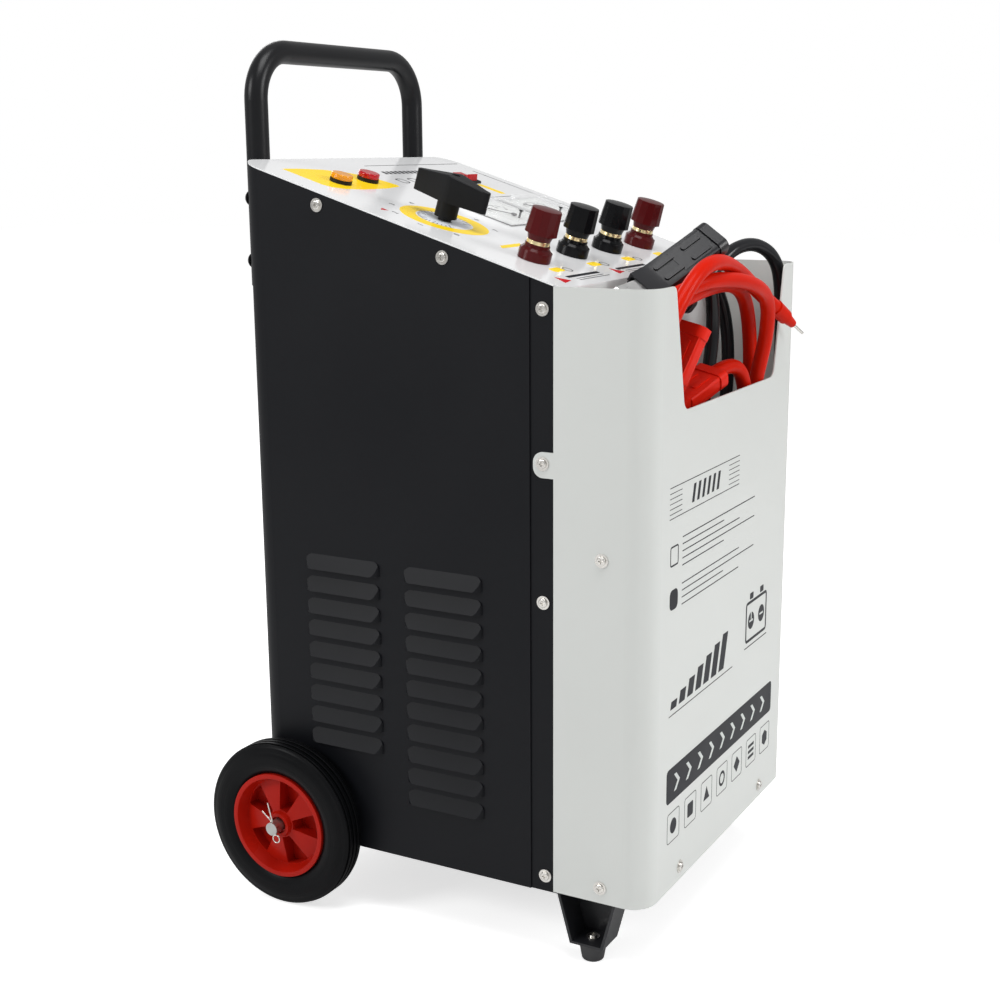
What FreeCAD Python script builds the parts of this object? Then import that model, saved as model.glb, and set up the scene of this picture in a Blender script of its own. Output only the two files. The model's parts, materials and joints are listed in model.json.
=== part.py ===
import FreeCAD, Part
import math
import os

os.makedirs("parts", exist_ok=True)
V = FreeCAD.Vector
X_AXIS = V(1, 0, 0)
Y_AXIS = V(0, 1, 0)
Z_AXIS = V(0, 0, 1)

# Driving dimensions of the body, in millimetres. The origin is on the floor
# under the middle of the machine, the front faces -Y and +Z is up.
SHEET = 1.5
HALF_WIDTH = 200.0
FRONT_Y = -248.4
BACK_Y = 206.3
SEAM_Y = FRONT_Y + 100.0
STRIP_BACK_Y = SEAM_Y + 25.0
WALL_Y = SEAM_Y - 11.0
BODY_Z = 70.0
FRONT_TOP_Z = 670.0
COVER_Z = 71.8
BEND = 25.0
PANEL_TILT = 17.55
PANEL_EDGE_Y = SEAM_Y - 0.5
INNER_HALF = HALF_WIDTH - SHEET
STRIP_HALF = HALF_WIDTH - 2 * SHEET

# Notch in the front cover.
NOTCH_Z = 552.0
NOTCH_HALF_BOTTOM = 125.0
NOTCH_HALF_TOP = 150.0
NOTCH_FILLET = 12.0
NOTCH_LIP = 8.0

# Louvres pressed outward in both sides.
LOUVRE_LENGTH = 90.0
LOUVRE_HEIGHT = 15.0
LOUVRE_DEPTH = 7.0
LOUVRE_SKIN = 1.2
LOUVRE_CORNER = 8.0
LOUVRE_PITCH = 23.75
LOUVRE_TOP_Z = 371.0
REAR_LOUVRE_Y = 93.4
REAR_LOUVRES = 9
FRONT_LOUVRE_Y = -25.9
FRONT_LOUVRES = 11

# Running gear.
WHEEL_Y = BACK_Y - 42.5
WHEEL_R = 90.0
WHEEL_SPACER = 3.0
TYRE_INSIDE = HALF_WIDTH + WHEEL_SPACER
TYRE_WIDTH = 34.0
RIM_R = 57.5
AXLE_R = 7.0
AXLE_HALF = TYRE_INSIDE + TYRE_WIDTH + 9.0
RUNNING = 0.05
FOOT_X = HALF_WIDTH - 20.0
FOOT_Y = FRONT_Y + 65.4
FOOT_PLATE_Z = 20.0

# Handle.
TUBE_R = 12.0
TUBE_WALL = 1.5
HANDLE_HALF = 150.0
HANDLE_TOP_Z = 892.7
HANDLE_CORNER = 50.0
HANDLE_LOW_Z = 655.0
HANDLE_BOLT_Z = (680.5, 744.7)

# Control panel items: (x, distance up the slope), heights above the casing edge.
PANEL_TOP = SHEET
POST_X = (-135.0, -53.0, 29.0, 111.0)
POST_U = 58.0
KNOB = (83.0 - HALF_WIDTH, 173.0)
AMBER_LAMP = (72.0 - HALF_WIDTH, 295.0)
RED_LAMP = (124.5 - HALF_WIDTH, 297.0)
ROCKER = (HALF_WIDTH - 86.0, 288.5)
METER_X = (13.0, 107.0)
METER_U = 177.0
METER_SIZE = (94.0, 74.0)
PIVOT_U = 165.0

# Leads and clamps.
RED_LEAD = 15.4
BLACK_LEAD = 14.3
GRIP_LENGTH = 101.0
GRIP_ANGLE = 22.0


def box(x0, x1, y0, y1, z0, z1):
    return Part.makeBox(x1 - x0, y1 - y0, z1 - z0, V(x0, y0, z0))


def cylinder(centre, axis, radius, length):
    return Part.makeCylinder(radius, length, V(*centre), axis)


def fuse(shapes):
    return shapes[0].multiFuse(shapes[1:]).removeSplitter()


def mirrored(shape):
    return shape.mirror(V(0, 0, 0), X_AXIS)


def pair(shape):
    return [shape, mirrored(shape)]


def polygon(points):
    return Part.Face(Part.makePolygon([V(*p) for p in points] + [V(*points[0])]))


def face_of(edges):
    return Part.Face(Part.Wire(Part.__sortEdges__(edges)))


def line(a, b):
    return Part.makeLine(V(*a), V(*b))


def arc(a, middle, b):
    return Part.Arc(V(*a), V(*middle), V(*b)).toShape()


def swept(path, radius, start, direction):
    ring = Part.Wire([Part.makeCircle(radius, V(*start), direction)])
    return path.makePipeShell([ring], True, False)


def rounded_slab(x0, x1, y0, y1, z0, z1, front_r, back_r):
    slab = box(x0, x1, y0, y1, z0, z1)
    for radius, side_y in ((front_r, y0), (back_r, y1)):
        if radius > 0:
            corners = [e for e in slab.Edges
                       if abs(e.CenterOfMass.y - side_y) < 1e-3
                       and abs(e.CenterOfMass.z - (z0 + z1) / 2) < 1e-3]
            slab = slab.makeFillet(radius, corners)
    return slab


def on_panel(shape):
    placed = shape.copy()
    placed.rotate(V(0, 0, 0), X_AXIS, PANEL_TILT)
    placed.translate(V(0, PANEL_EDGE_Y, FRONT_TOP_Z))
    return placed


def panel_disc(centre, radius, low, high):
    return cylinder((centre[0], centre[1], low), Z_AXIS, radius, high - low)


def save(name, shape):
    shape.exportStep("parts/" + name + ".step")
    box_size = shape.BoundBox
    print(name, shape.isValid(), len(shape.Solids), round(shape.Volume),
          [round(v, 1) for v in (box_size.XMin, box_size.XMax, box_size.YMin,
                                 box_size.YMax, box_size.ZMin, box_size.ZMax)])


# Screws: one pattern of pan heads with a washer face and a cross recess.
SCREW_R = 2.5
SCREW_HOLE_R = 2.7
SCREW_HEAD_R = 6.75
SIDE_SCREWS = [(HALF_WIDTH, 111.2, FRONT_TOP_Z + 70.3), (HALF_WIDTH, -31.1, FRONT_TOP_Z + 23.1),
               (HALF_WIDTH - SHEET, SEAM_Y + 11.9, FRONT_TOP_Z - 20.9),
               (HALF_WIDTH - SHEET, SEAM_Y + 11.3, 368.9),
               (HALF_WIDTH - SHEET, SEAM_Y + 9.5, BODY_Z + 16.4),
               (HALF_WIDTH, FRONT_Y + 49.5, 418.0),
               (HALF_WIDTH, FRONT_Y + 49.1, BODY_Z + 17.7), (HALF_WIDTH, SEAM_Y + 11.4, 504.5)]
FRONT_SCREWS = [(116.4, FRONT_Y, BODY_Z + 16.4)]


def screw(length):
    flange = cylinder((0, 0, 0), Z_AXIS, SCREW_HEAD_R, 1.0)
    dome = cylinder((0, 0, 1.0), Z_AXIS, 4.6, 2.0)
    dome = dome.makeFillet(1.2, [e for e in dome.Edges if abs(e.CenterOfMass.z - 3.0) < 1e-3])
    shank = cylinder((0, 0, -length), Z_AXIS, SCREW_R, length)
    head = fuse([flange, dome, shank])
    for turn in (0, 90):
        slot = box(-2.4, 2.4, -0.5, 0.5, 1.4, 4.0)
        slot.rotate(V(0, 0, 0), Z_AXIS, turn)
        head = head.cut(slot)
    return head


def placed_along(shape, point, direction):
    placed = shape.copy()
    turn = FreeCAD.Rotation(Z_AXIS, direction)
    placed.Placement = FreeCAD.Placement(V(*point), turn)
    return placed


def side_holes(points):
    holes = []
    for x, y, z in points:
        holes += pair(cylinder((HALF_WIDTH - 10, y, z), X_AXIS, SCREW_HOLE_R, 15))
    return holes


def front_holes():
    holes = []
    for x, y, z in FRONT_SCREWS:
        holes += pair(cylinder((x, y - 5, z), Y_AXIS, SCREW_HOLE_R, 12.0))
    return holes


# Heights and reaches of the blanks that are trimmed to the panel slope.
BLANK_TOP = FRONT_TOP_Z + 180.0
BLANK_LOW = FRONT_TOP_Z - 70.0
REACH = HALF_WIDTH + 200.0

# Base pan: floor with an upturned flange, narrower behind the inner wall.
pan_back_y = BACK_Y - SHEET
PAN_FLANGE_Z = 102.0
PAN_Z = 72.0
PAN_STEP_Y = WALL_Y - 0.6
pan_over_z = PAN_FLANGE_Z + 18.0
front_part = rounded_slab(-INNER_HALF, INNER_HALF, FRONT_Y + SHEET, PAN_STEP_Y, PAN_Z,
                          PAN_FLANGE_Z, BEND - SHEET, 0)
back_part = rounded_slab(-STRIP_HALF, STRIP_HALF, PAN_STEP_Y, pan_back_y, PAN_Z,
                         PAN_FLANGE_Z, 0, BEND - SHEET)
front_hollow = rounded_slab(-INNER_HALF + SHEET, INNER_HALF - SHEET, FRONT_Y + 2 * SHEET,
                            PAN_STEP_Y - SHEET, PAN_Z + SHEET, pan_over_z,
                            BEND - 2 * SHEET, 0)
back_hollow = rounded_slab(-STRIP_HALF + SHEET, STRIP_HALF - SHEET, PAN_STEP_Y - SHEET - 1,
                           pan_back_y - SHEET, PAN_Z + SHEET, pan_over_z, 0,
                           BEND - 2 * SHEET)
pan_floor_z = PAN_Z + SHEET
base_pan = front_part.fuse(back_part).cut(fuse([front_hollow, back_hollow]))
axle_bore = cylinder((-REACH, WHEEL_Y, WHEEL_R), X_AXIS, AXLE_R + RUNNING, 2 * REACH)
low_screws = [p for p in SIDE_SCREWS if p[2] < PAN_FLANGE_Z]
base_pan = base_pan.cut(side_holes(low_screws) + front_holes() + [axle_bore])

# Casing wrap: sides and back in one sheet, front strips set inward under the cover.
trim = on_panel(box(-REACH, REACH, -300, 600, 0, 400))
wrap = rounded_slab(-HALF_WIDTH, HALF_WIDTH, STRIP_BACK_Y, BACK_Y, BODY_Z, BLANK_TOP, 0, BEND)
wrap = wrap.cut(rounded_slab(-INNER_HALF, INNER_HALF, STRIP_BACK_Y - 1, BACK_Y - SHEET,
                             BODY_Z - 1, BLANK_TOP + 1, 0, BEND - SHEET))
strips = pair(box(STRIP_HALF, INNER_HALF, WALL_Y + SHEET, STRIP_BACK_Y + SHEET, BODY_Z, BLANK_TOP))
wrap = fuse([wrap] + strips).cut(trim)


def louvre_solid(length, depth, height, inward, corner_r):
    half = length / 2
    side = polygon([(-inward, -half, 0), (depth, -half, 0), (0, -half, height),
                    (-inward, -half, height)])
    end_run = depth * 1.7
    bulge_x = depth * 0.75
    bulge_y = end_run * 0.35
    plan = face_of([line((-inward, -half, 0), (0, -half, 0)),
                    arc((0, -half, 0), (bulge_x, bulge_y - half, 0),
                        (depth, -half + end_run, 0)),
                    line((depth, -half + end_run, 0), (depth, half - end_run, 0)),
                    arc((depth, half - end_run, 0), (bulge_x, half - bulge_y, 0),
                        (0, half, 0)),
                    line((0, half, 0), (-inward, half, 0)),
                    line((-inward, half, 0), (-inward, -half, 0))])
    outline = box(-inward, depth, -half, half, 0, height)
    top_corners = [e for e in outline.Edges if abs(abs(e.CenterOfMass.y) - half) < 1e-3
                   and abs(e.CenterOfMass.z - height) < 1e-3]
    outline = outline.makeFillet(corner_r, top_corners)
    body = side.extrude(V(0, length, 0)).common(plan.extrude(V(0, 0, height)))
    return body.common(outline)


outer_louvre = louvre_solid(LOUVRE_LENGTH, LOUVRE_DEPTH, LOUVRE_HEIGHT, SHEET * 0.4,
                            LOUVRE_CORNER)
inner_louvre = louvre_solid(LOUVRE_LENGTH - 2 * LOUVRE_SKIN, LOUVRE_DEPTH - LOUVRE_SKIN,
                            LOUVRE_HEIGHT - LOUVRE_SKIN, SHEET * 2, LOUVRE_CORNER - LOUVRE_SKIN)
louvre_places = [(REAR_LOUVRE_Y, i) for i in range(REAR_LOUVRES)]
louvre_places += [(FRONT_LOUVRE_Y, i) for i in range(FRONT_LOUVRES)]
louvre_skins = []
louvre_mouths = []
for middle_y, row in louvre_places:
    at = V(HALF_WIDTH, middle_y, LOUVRE_TOP_Z - row * LOUVRE_PITCH)
    for source, target in ((outer_louvre, louvre_skins), (inner_louvre, louvre_mouths)):
        piece = source.copy()
        piece.translate(at)
        target += pair(piece)
wrap = wrap.multiFuse(louvre_skins).cut(louvre_mouths)
casing_screws = [p for p in SIDE_SCREWS if p[1] > SEAM_Y]
wrap = wrap.cut(side_holes(casing_screws))
GLAND = (120.0, BACK_Y, 130.0)
GLAND_R = 10.0
axle_clear = cylinder((-REACH, WHEEL_Y, WHEEL_R), X_AXIS, AXLE_R + 0.3, 2 * REACH)
gland_hole = cylinder((GLAND[0], GLAND[1] - 10, GLAND[2]), Y_AXIS, GLAND_R + 0.2, 20)
bolt_holes = []
for bolt_z in HANDLE_BOLT_Z:
    bolt_holes += pair(cylinder((HANDLE_HALF, BACK_Y - 10, bolt_z), Y_AXIS, 4.2, 40))
wrap = wrap.cut([axle_clear, gland_hole] + bolt_holes)

# Inner wall between the tool bin and the works.
wall_low_z = PAN_FLANGE_Z + 2.0
wall = box(-INNER_HALF, INNER_HALF, WALL_Y, WALL_Y + SHEET, wall_low_z, BLANK_TOP)
foot_half = STRIP_HALF - SHEET - 0.5
wall_foot = box(-foot_half, foot_half, WALL_Y, WALL_Y + SHEET, pan_floor_z, wall_low_z)
wall_sides = pair(box(STRIP_HALF - SHEET, STRIP_HALF, WALL_Y, WALL_Y + 31.4, wall_low_z, BLANK_TOP))
wall_top = on_panel(box(-STRIP_HALF + SHEET, STRIP_HALF - SHEET, -12, 22, -SHEET, 0))
wall_top = wall_top.cut(box(-REACH, REACH, WALL_Y - 200, WALL_Y, 0, BLANK_TOP))
inner_wall = fuse([wall, wall_foot] + wall_sides).cut(trim)
inner_wall = fuse([inner_wall, wall_top])
wall_screws = [p for p in SIDE_SCREWS if SEAM_Y < p[1] < STRIP_BACK_Y and p[2] > PAN_FLANGE_Z]
inner_wall = inner_wall.cut(side_holes(wall_screws))

# Front cover of the tool bin.
cover = rounded_slab(-HALF_WIDTH, HALF_WIDTH, FRONT_Y, SEAM_Y, COVER_Z, FRONT_TOP_Z, BEND, 0)
cover = cover.cut(rounded_slab(-INNER_HALF, INNER_HALF, FRONT_Y + SHEET, SEAM_Y + 1,
                               COVER_Z - 10, FRONT_TOP_Z + 10, BEND - SHEET, 0))
TAB_R = 10.0
TAB_REACH = 21.4
TAB_LOW_Z = 490.8
TAB_TOP_Z = 515.6
tab = box(INNER_HALF, HALF_WIDTH, SEAM_Y, SEAM_Y + TAB_REACH, TAB_LOW_Z, TAB_TOP_Z)
tab = tab.makeFillet(TAB_R, [e for e in tab.Edges
                             if abs(e.CenterOfMass.y - SEAM_Y - TAB_REACH) < 1e-3
                             and abs(e.CenterOfMass.x - (HALF_WIDTH - SHEET / 2)) < 1e-3])
cover = fuse([cover] + pair(tab))
slope = (NOTCH_HALF_TOP - NOTCH_HALF_BOTTOM) / (FRONT_TOP_Z - NOTCH_Z)
notch_over = NOTCH_HALF_TOP + slope * 20
notch = polygon([(-NOTCH_HALF_BOTTOM, FRONT_Y - 1, NOTCH_Z), (NOTCH_HALF_BOTTOM, FRONT_Y - 1, NOTCH_Z),
                 (notch_over, FRONT_Y - 1, FRONT_TOP_Z + 20),
                 (-notch_over, FRONT_Y - 1, FRONT_TOP_Z + 20)]).extrude(V(0, 5, 0))
notch = notch.makeFillet(NOTCH_FILLET, [e for e in notch.Edges
                                        if abs(e.CenterOfMass.z - NOTCH_Z) < 1e-3
                                        and abs(e.CenterOfMass.x) > NOTCH_HALF_BOTTOM - 1])
cover_screws = [p for p in SIDE_SCREWS if p[0] == HALF_WIDTH and p[1] < STRIP_BACK_Y]
cover = cover.cut([notch] + side_holes(cover_screws) + front_holes())
lip_edges = [e for e in cover.Edges
             if abs(e.CenterOfMass.z - FRONT_TOP_Z) < 1e-2 and e.Length < SHEET + 0.1
             and abs(abs(e.CenterOfMass.x) - NOTCH_HALF_TOP) < 1.0]
cover = cover.makeFillet(NOTCH_LIP, lip_edges)

# Bin floor: a tray with low sides held by the upper cover screws.
TRAY_Z = 406.5
TRAY_RIM_Z = 430.0
tray = rounded_slab(-INNER_HALF, INNER_HALF, FRONT_Y + SHEET, WALL_Y, TRAY_Z, TRAY_RIM_Z,
                    BEND - SHEET, 0)
tray = tray.cut(rounded_slab(-INNER_HALF + SHEET, INNER_HALF - SHEET, FRONT_Y + 2 * SHEET,
                             WALL_Y - SHEET, TRAY_Z + SHEET, TRAY_RIM_Z + 1, BEND - 2 * SHEET, 0))
tray = tray.cut(side_holes([p for p in SIDE_SCREWS if TRAY_Z < p[2] < TRAY_RIM_Z]))

# Control panel: a plate over the casing edge with a skirt inside it.
plan = rounded_slab(-HALF_WIDTH, HALF_WIDTH, WALL_Y, BACK_Y, BLANK_LOW, BLANK_TOP, 0, BEND)
plate = plan.common(on_panel(box(-REACH, REACH, -60, 600, 0, PANEL_TOP)))
plate = plate.cut(pair(box(INNER_HALF - 0.3, REACH, WALL_Y - 1, SEAM_Y + 0.3, BLANK_LOW, BLANK_TOP)))
SKIRT_FRONT_Y = -121.0
skirt = rounded_slab(-INNER_HALF, INNER_HALF, SKIRT_FRONT_Y, BACK_Y - SHEET, BLANK_LOW,
                     BLANK_TOP, 0, BEND - SHEET)
skirt = skirt.cut(rounded_slab(-INNER_HALF + SHEET, INNER_HALF - SHEET, SKIRT_FRONT_Y - 1,
                               BACK_Y - 2 * SHEET, BLANK_LOW - 1, BLANK_TOP + 1, 0,
                               BEND - 2 * SHEET))
skirt = skirt.common(on_panel(box(-REACH, REACH, 0, 600, -22, 0)))
METER_BODY_R = 30.0
POST_NECK_R = 9.0
BUSH_R = 8.0
ROCKER_BODY_HALF = (10.9, 14.0)
HOLE_PLAY = 0.2
rocker_hole = [half + HOLE_PLAY for half in ROCKER_BODY_HALF]
panel_holes = [panel_disc((x, POST_U), POST_NECK_R + HOLE_PLAY, -30, 30) for x in POST_X]
panel_holes += [panel_disc((x, METER_U), METER_BODY_R + 0.3, -30, 30) for x in METER_X]
panel_holes += [panel_disc(at, BUSH_R + HOLE_PLAY, -30, 30) for at in (AMBER_LAMP, RED_LAMP, KNOB)]
panel_holes.append(box(ROCKER[0] - rocker_hole[0], ROCKER[0] + rocker_hole[0],
                       ROCKER[1] - rocker_hole[1], ROCKER[1] + rocker_hole[1], -30, 30))
top_panel = fuse([plate, skirt]).cut([on_panel(h) for h in panel_holes])
top_panel = top_panel.cut(side_holes([p for p in SIDE_SCREWS if p[1] > SKIRT_FRONT_Y]))

# Case screws, all of one pattern.
side_screw = screw(7.0)
case_screws = []
for x, y, z in SIDE_SCREWS:
    case_screws += pair(placed_along(side_screw, (x, y, z), X_AXIS))
for x, y, z in FRONT_SCREWS:
    case_screws += pair(placed_along(side_screw, (x, y, z), V(0, -1, 0)))

# Mains gland in the back, empty.
gland = cylinder((GLAND[0], BACK_Y, GLAND[2]), Y_AXIS, 14.0, 8.0)
gland = gland.fuse(cylinder((GLAND[0], BACK_Y - 10, GLAND[2]), Y_AXIS, GLAND_R, 30.0))
gland = gland.fuse(cylinder((GLAND[0], BACK_Y - 7.5, GLAND[2]), Y_AXIS, 14.0, 6.0))
gland = gland.cut(cylinder((GLAND[0], BACK_Y - 11, GLAND[2]), Y_AXIS, 5.0, 40.0)).removeSplitter()

# Wheels. Each profile is drawn as (radius, distance in from the outer face).
TREAD_GROOVES = (-10.0, -3.4, 3.4, 10.0)
GROOVE_WIDTH = 2.6
GROOVE_DEPTH = 2.5


def wheel_turned(edges):
    turned = face_of(edges).revolve(V(0, 0, 0), X_AXIS, 360)
    turned.translate(V(TYRE_INSIDE, WHEEL_Y, WHEEL_R))
    return turned


def across(a, radius):
    return (TYRE_WIDTH - a, 0, radius)


def chain(points):
    return [line(points[i], points[i + 1]) for i in range(len(points) - 1)]


SHOULDER = 7.5
BEAD = 5.0
SIDE_INSET = 2.5
side_top_r = WHEEL_R - 6.0
widest_r = RIM_R + 14.0


def sidewall(flip):
    def at(a, radius):
        return across(TYRE_WIDTH - a if flip else a, radius)
    return [arc(at(BEAD, RIM_R), at(1.1, RIM_R + 6.0), at(0, widest_r)),
            arc(at(0, widest_r), at(0.5, widest_r + 7.0), at(SIDE_INSET, side_top_r)),
            arc(at(SIDE_INSET, side_top_r), at(4.3, WHEEL_R - 1.9), at(SHOULDER, WHEEL_R))]


tyre_edges = sidewall(False) + sidewall(True)
tyre_edges.append(line(across(SHOULDER, WHEEL_R), across(TYRE_WIDTH - SHOULDER, WHEEL_R)))
tyre_edges.append(line(across(BEAD, RIM_R), across(TYRE_WIDTH - BEAD, RIM_R)))
tyre = wheel_turned(tyre_edges)
for groove in TREAD_GROOVES:
    groove_x = TYRE_INSIDE + TYRE_WIDTH / 2 + groove - GROOVE_WIDTH / 2
    ring = cylinder((groove_x, WHEEL_Y, WHEEL_R), X_AXIS, WHEEL_R + 2, GROOVE_WIDTH)
    ring = ring.cut(cylinder((groove_x, WHEEL_Y, WHEEL_R), X_AXIS, WHEEL_R - GROOVE_DEPTH, 40))
    tyre = tyre.cut(ring)
BOSS_R = 14.5
WEB_R = RIM_R - 9.5
WEB_BACK = TYRE_WIDTH - 5.0
hub_edges = chain([across(1, RIM_R - 5), across(0.6, RIM_R - 3), across(1, RIM_R), across(4, RIM_R),
                   across(TYRE_WIDTH - 4, RIM_R), across(TYRE_WIDTH - 1, RIM_R),
                   across(TYRE_WIDTH - 1, RIM_R - 4), across(WEB_BACK + 1, RIM_R - 8),
                   across(WEB_BACK, BOSS_R + 3.5), across(TYRE_WIDTH - 0.2, BOSS_R + 0.5),
                   across(TYRE_WIDTH - 0.2, AXLE_R + RUNNING), across(7, AXLE_R + RUNNING),
                   across(7, AXLE_R + 2.5), across(3, AXLE_R + 2.5), across(3, BOSS_R - 1.5),
                   across(8, BOSS_R), across(14, WEB_R), across(1, RIM_R - 5)])
hub = wheel_turned(hub_edges)

# Five spokes stand between five blind pockets of the same angle.
SPOKES = 5
POCKET_FLOOR = 3.0
POCKET_TURN = 32.2
pocket_inner_r = BOSS_R + 1.0
pocket_outer_r = WEB_R - 1.0
half_pocket = math.radians(90.0 / SPOKES)


def ring_point(radius, angle):
    return (0, radius * math.cos(angle), radius * math.sin(angle))


pocket = face_of([arc(ring_point(pocket_inner_r, -half_pocket), ring_point(pocket_inner_r, 0),
                      ring_point(pocket_inner_r, half_pocket)),
                  line(ring_point(pocket_inner_r, half_pocket),
                       ring_point(pocket_outer_r, half_pocket)),
                  arc(ring_point(pocket_outer_r, half_pocket), ring_point(pocket_outer_r, 0),
                      ring_point(pocket_outer_r, -half_pocket)),
                  line(ring_point(pocket_outer_r, -half_pocket),
                       ring_point(pocket_inner_r, -half_pocket))]).extrude(V(TYRE_WIDTH, 0, 0))
pocket = pocket.makeFillet(1.5, [e for e in pocket.Edges if abs(e.Length - TYRE_WIDTH) < 1e-3])
for spoke in range(SPOKES):
    opening = pocket.copy()
    opening.rotate(V(0, 0, 0), X_AXIS, POCKET_TURN + spoke * 360 / SPOKES)
    opening.translate(V(TYRE_INSIDE + TYRE_WIDTH - WEB_BACK + POCKET_FLOOR, WHEEL_Y, WHEEL_R))
    hub = hub.cut(opening)
axle = cylinder((-AXLE_HALF, WHEEL_Y, WHEEL_R), X_AXIS, AXLE_R, 2 * AXLE_HALF)
PIN_X = AXLE_HALF - 4.0
PIN_R = 1.6
PIN_WIRE_R = 0.75
PIN_TILT = 15.0
LONG_PRONG = 22.0
SHORT_PRONG = 15.0
EYE_R = 4.2
PIN_OVER = 1.0
pin_hole = cylinder((PIN_X, 0, -AXLE_R - 14), Z_AXIS, PIN_R, 2 * AXLE_R + 28)
shank_low = -AXLE_R - PIN_OVER - 0.3
shank = cylinder((PIN_X, 0, shank_low), Z_AXIS, PIN_R, AXLE_R + PIN_OVER - shank_low)
prongs = [cylinder((PIN_X, -0.7, AXLE_R - PIN_OVER), Z_AXIS, PIN_WIRE_R, LONG_PRONG),
          cylinder((PIN_X, 0.5, AXLE_R + 0.5), V(0, 0.6, 0.8), PIN_WIRE_R, SHORT_PRONG)]
eye = Part.makeTorus(EYE_R, PIN_WIRE_R, V(PIN_X, 0, -AXLE_R - PIN_OVER - EYE_R), X_AXIS)
split_pin = fuse([shank, eye] + prongs)
for piece in (pin_hole, split_pin):
    piece.rotate(V(0, 0, 0), X_AXIS, -PIN_TILT)
    piece.translate(V(0, WHEEL_Y, WHEEL_R))
far_pin = split_pin.copy()
far_pin.translate(V(-2 * PIN_X, 0, 0))
axle = axle.cut(pair(pin_hole))
SPACER_R = 12.5
spacer = cylinder((HALF_WIDTH, WHEEL_Y, WHEEL_R), X_AXIS, SPACER_R, TYRE_INSIDE - HALF_WIDTH)
spacer = spacer.cut(cylinder((HALF_WIDTH - 1, WHEEL_Y, WHEEL_R), X_AXIS, AXLE_R + RUNNING, 10))
axle_retainers = [split_pin, far_pin] + pair(spacer)

# Front foot brackets: folded funnels with an open outer side, on rubber feet.
BRACKET_SHEET = 2.5
bracket_in = FOOT_X - 16.5
bracket_out = INNER_HALF - 0.2
top_front = FOOT_Y - 32.5
top_back = FOOT_Y + 31.5
low_front = FOOT_Y - 19.0
low_back = FOOT_Y + 17.0
solid_side = polygon([(bracket_in, top_front, PAN_Z), (bracket_in, top_back, PAN_Z),
                      (bracket_in, low_back, FOOT_PLATE_Z), (bracket_in, low_front, FOOT_PLATE_Z)])
bracket = solid_side.extrude(V(bracket_out - bracket_in, 0, 0))
hollow = polygon([(bracket_in + BRACKET_SHEET, top_front + BRACKET_SHEET, PAN_Z + 1),
                  (bracket_in + BRACKET_SHEET, top_back - BRACKET_SHEET, PAN_Z + 1),
                  (bracket_in + BRACKET_SHEET, low_back - BRACKET_SHEET, FOOT_PLATE_Z + BRACKET_SHEET),
                  (bracket_in + BRACKET_SHEET, low_front + BRACKET_SHEET, FOOT_PLATE_Z + BRACKET_SHEET)])
bracket = bracket.cut(hollow.extrude(V(60, 0, 0)))
flange = box(bracket_in - 16, bracket_in + BRACKET_SHEET, top_front, top_back,
             PAN_Z - BRACKET_SHEET, PAN_Z)
bracket = fuse([bracket, flange])
bracket = bracket.cut(box(STRIP_HALF - 0.2, REACH, WALL_Y, 0, BODY_Z - 0.2, PAN_Z + 1))
bracket = bracket.cut(cylinder((FOOT_X, FOOT_Y, 10), Z_AXIS, SCREW_R, 30))
PAD_TOP_R = 14.5
PAD_LOW_R = 11.0
PAD_ROUND = 2.0
pad = Part.makeCone(PAD_LOW_R, PAD_TOP_R, FOOT_PLATE_Z, V(FOOT_X, FOOT_Y, 0), Z_AXIS)
pad = pad.makeFillet(PAD_ROUND, [e for e in pad.Edges if abs(e.CenterOfMass.z) < 1e-3])
pad = pad.cut(cylinder((FOOT_X, FOOT_Y, 10), Z_AXIS, SCREW_R, 30))
foot_screw = placed_along(screw(10.0), (FOOT_X, FOOT_Y, FOOT_PLATE_Z + BRACKET_SHEET), Z_AXIS)
case_screws += pair(foot_screw)

# Handle: one bent tube on the back, held by dome bolts through each leg.
handle_y = BACK_Y + TUBE_R
corner = HANDLE_CORNER
cut45 = corner * (1 - math.sqrt(0.5))


def handle_path():
    left = -HANDLE_HALF
    right = HANDLE_HALF
    top = HANDLE_TOP_Z
    y = handle_y
    return Part.Wire([
        line((left, y, HANDLE_LOW_Z), (left, y, top - corner)),
        arc((left, y, top - corner), (left + cut45, y, top - cut45), (left + corner, y, top)),
        line((left + corner, y, top), (right - corner, y, top)),
        arc((right - corner, y, top), (right - cut45, y, top - cut45), (right, y, top - corner)),
        line((right, y, top - corner), (right, y, HANDLE_LOW_Z))])


start = (-HANDLE_HALF, handle_y, HANDLE_LOW_Z)
tube = swept(handle_path(), TUBE_R, start, Z_AXIS)
tube = tube.cut(swept(handle_path(), TUBE_R - TUBE_WALL, start, Z_AXIS))
tube = tube.cut(bolt_holes)
handle_bolts = []
for bolt_z in HANDLE_BOLT_Z:
    head = Part.makeSphere(9.0, V(HANDLE_HALF, handle_y + TUBE_R - 4.0, bolt_z))
    head = head.common(cylinder((HANDLE_HALF, handle_y + TUBE_R, bolt_z), Y_AXIS, 10.0, 20.0))
    shank = cylinder((HANDLE_HALF, BACK_Y - 12, bolt_z), Y_AXIS, 4.0, 12 + 2 * TUBE_R)
    nut = cylinder((HANDLE_HALF, BACK_Y - SHEET - 6.5, bolt_z), Y_AXIS, 7.0, 6.5)
    handle_bolts += pair(fuse([head, shank, nut]))

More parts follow.
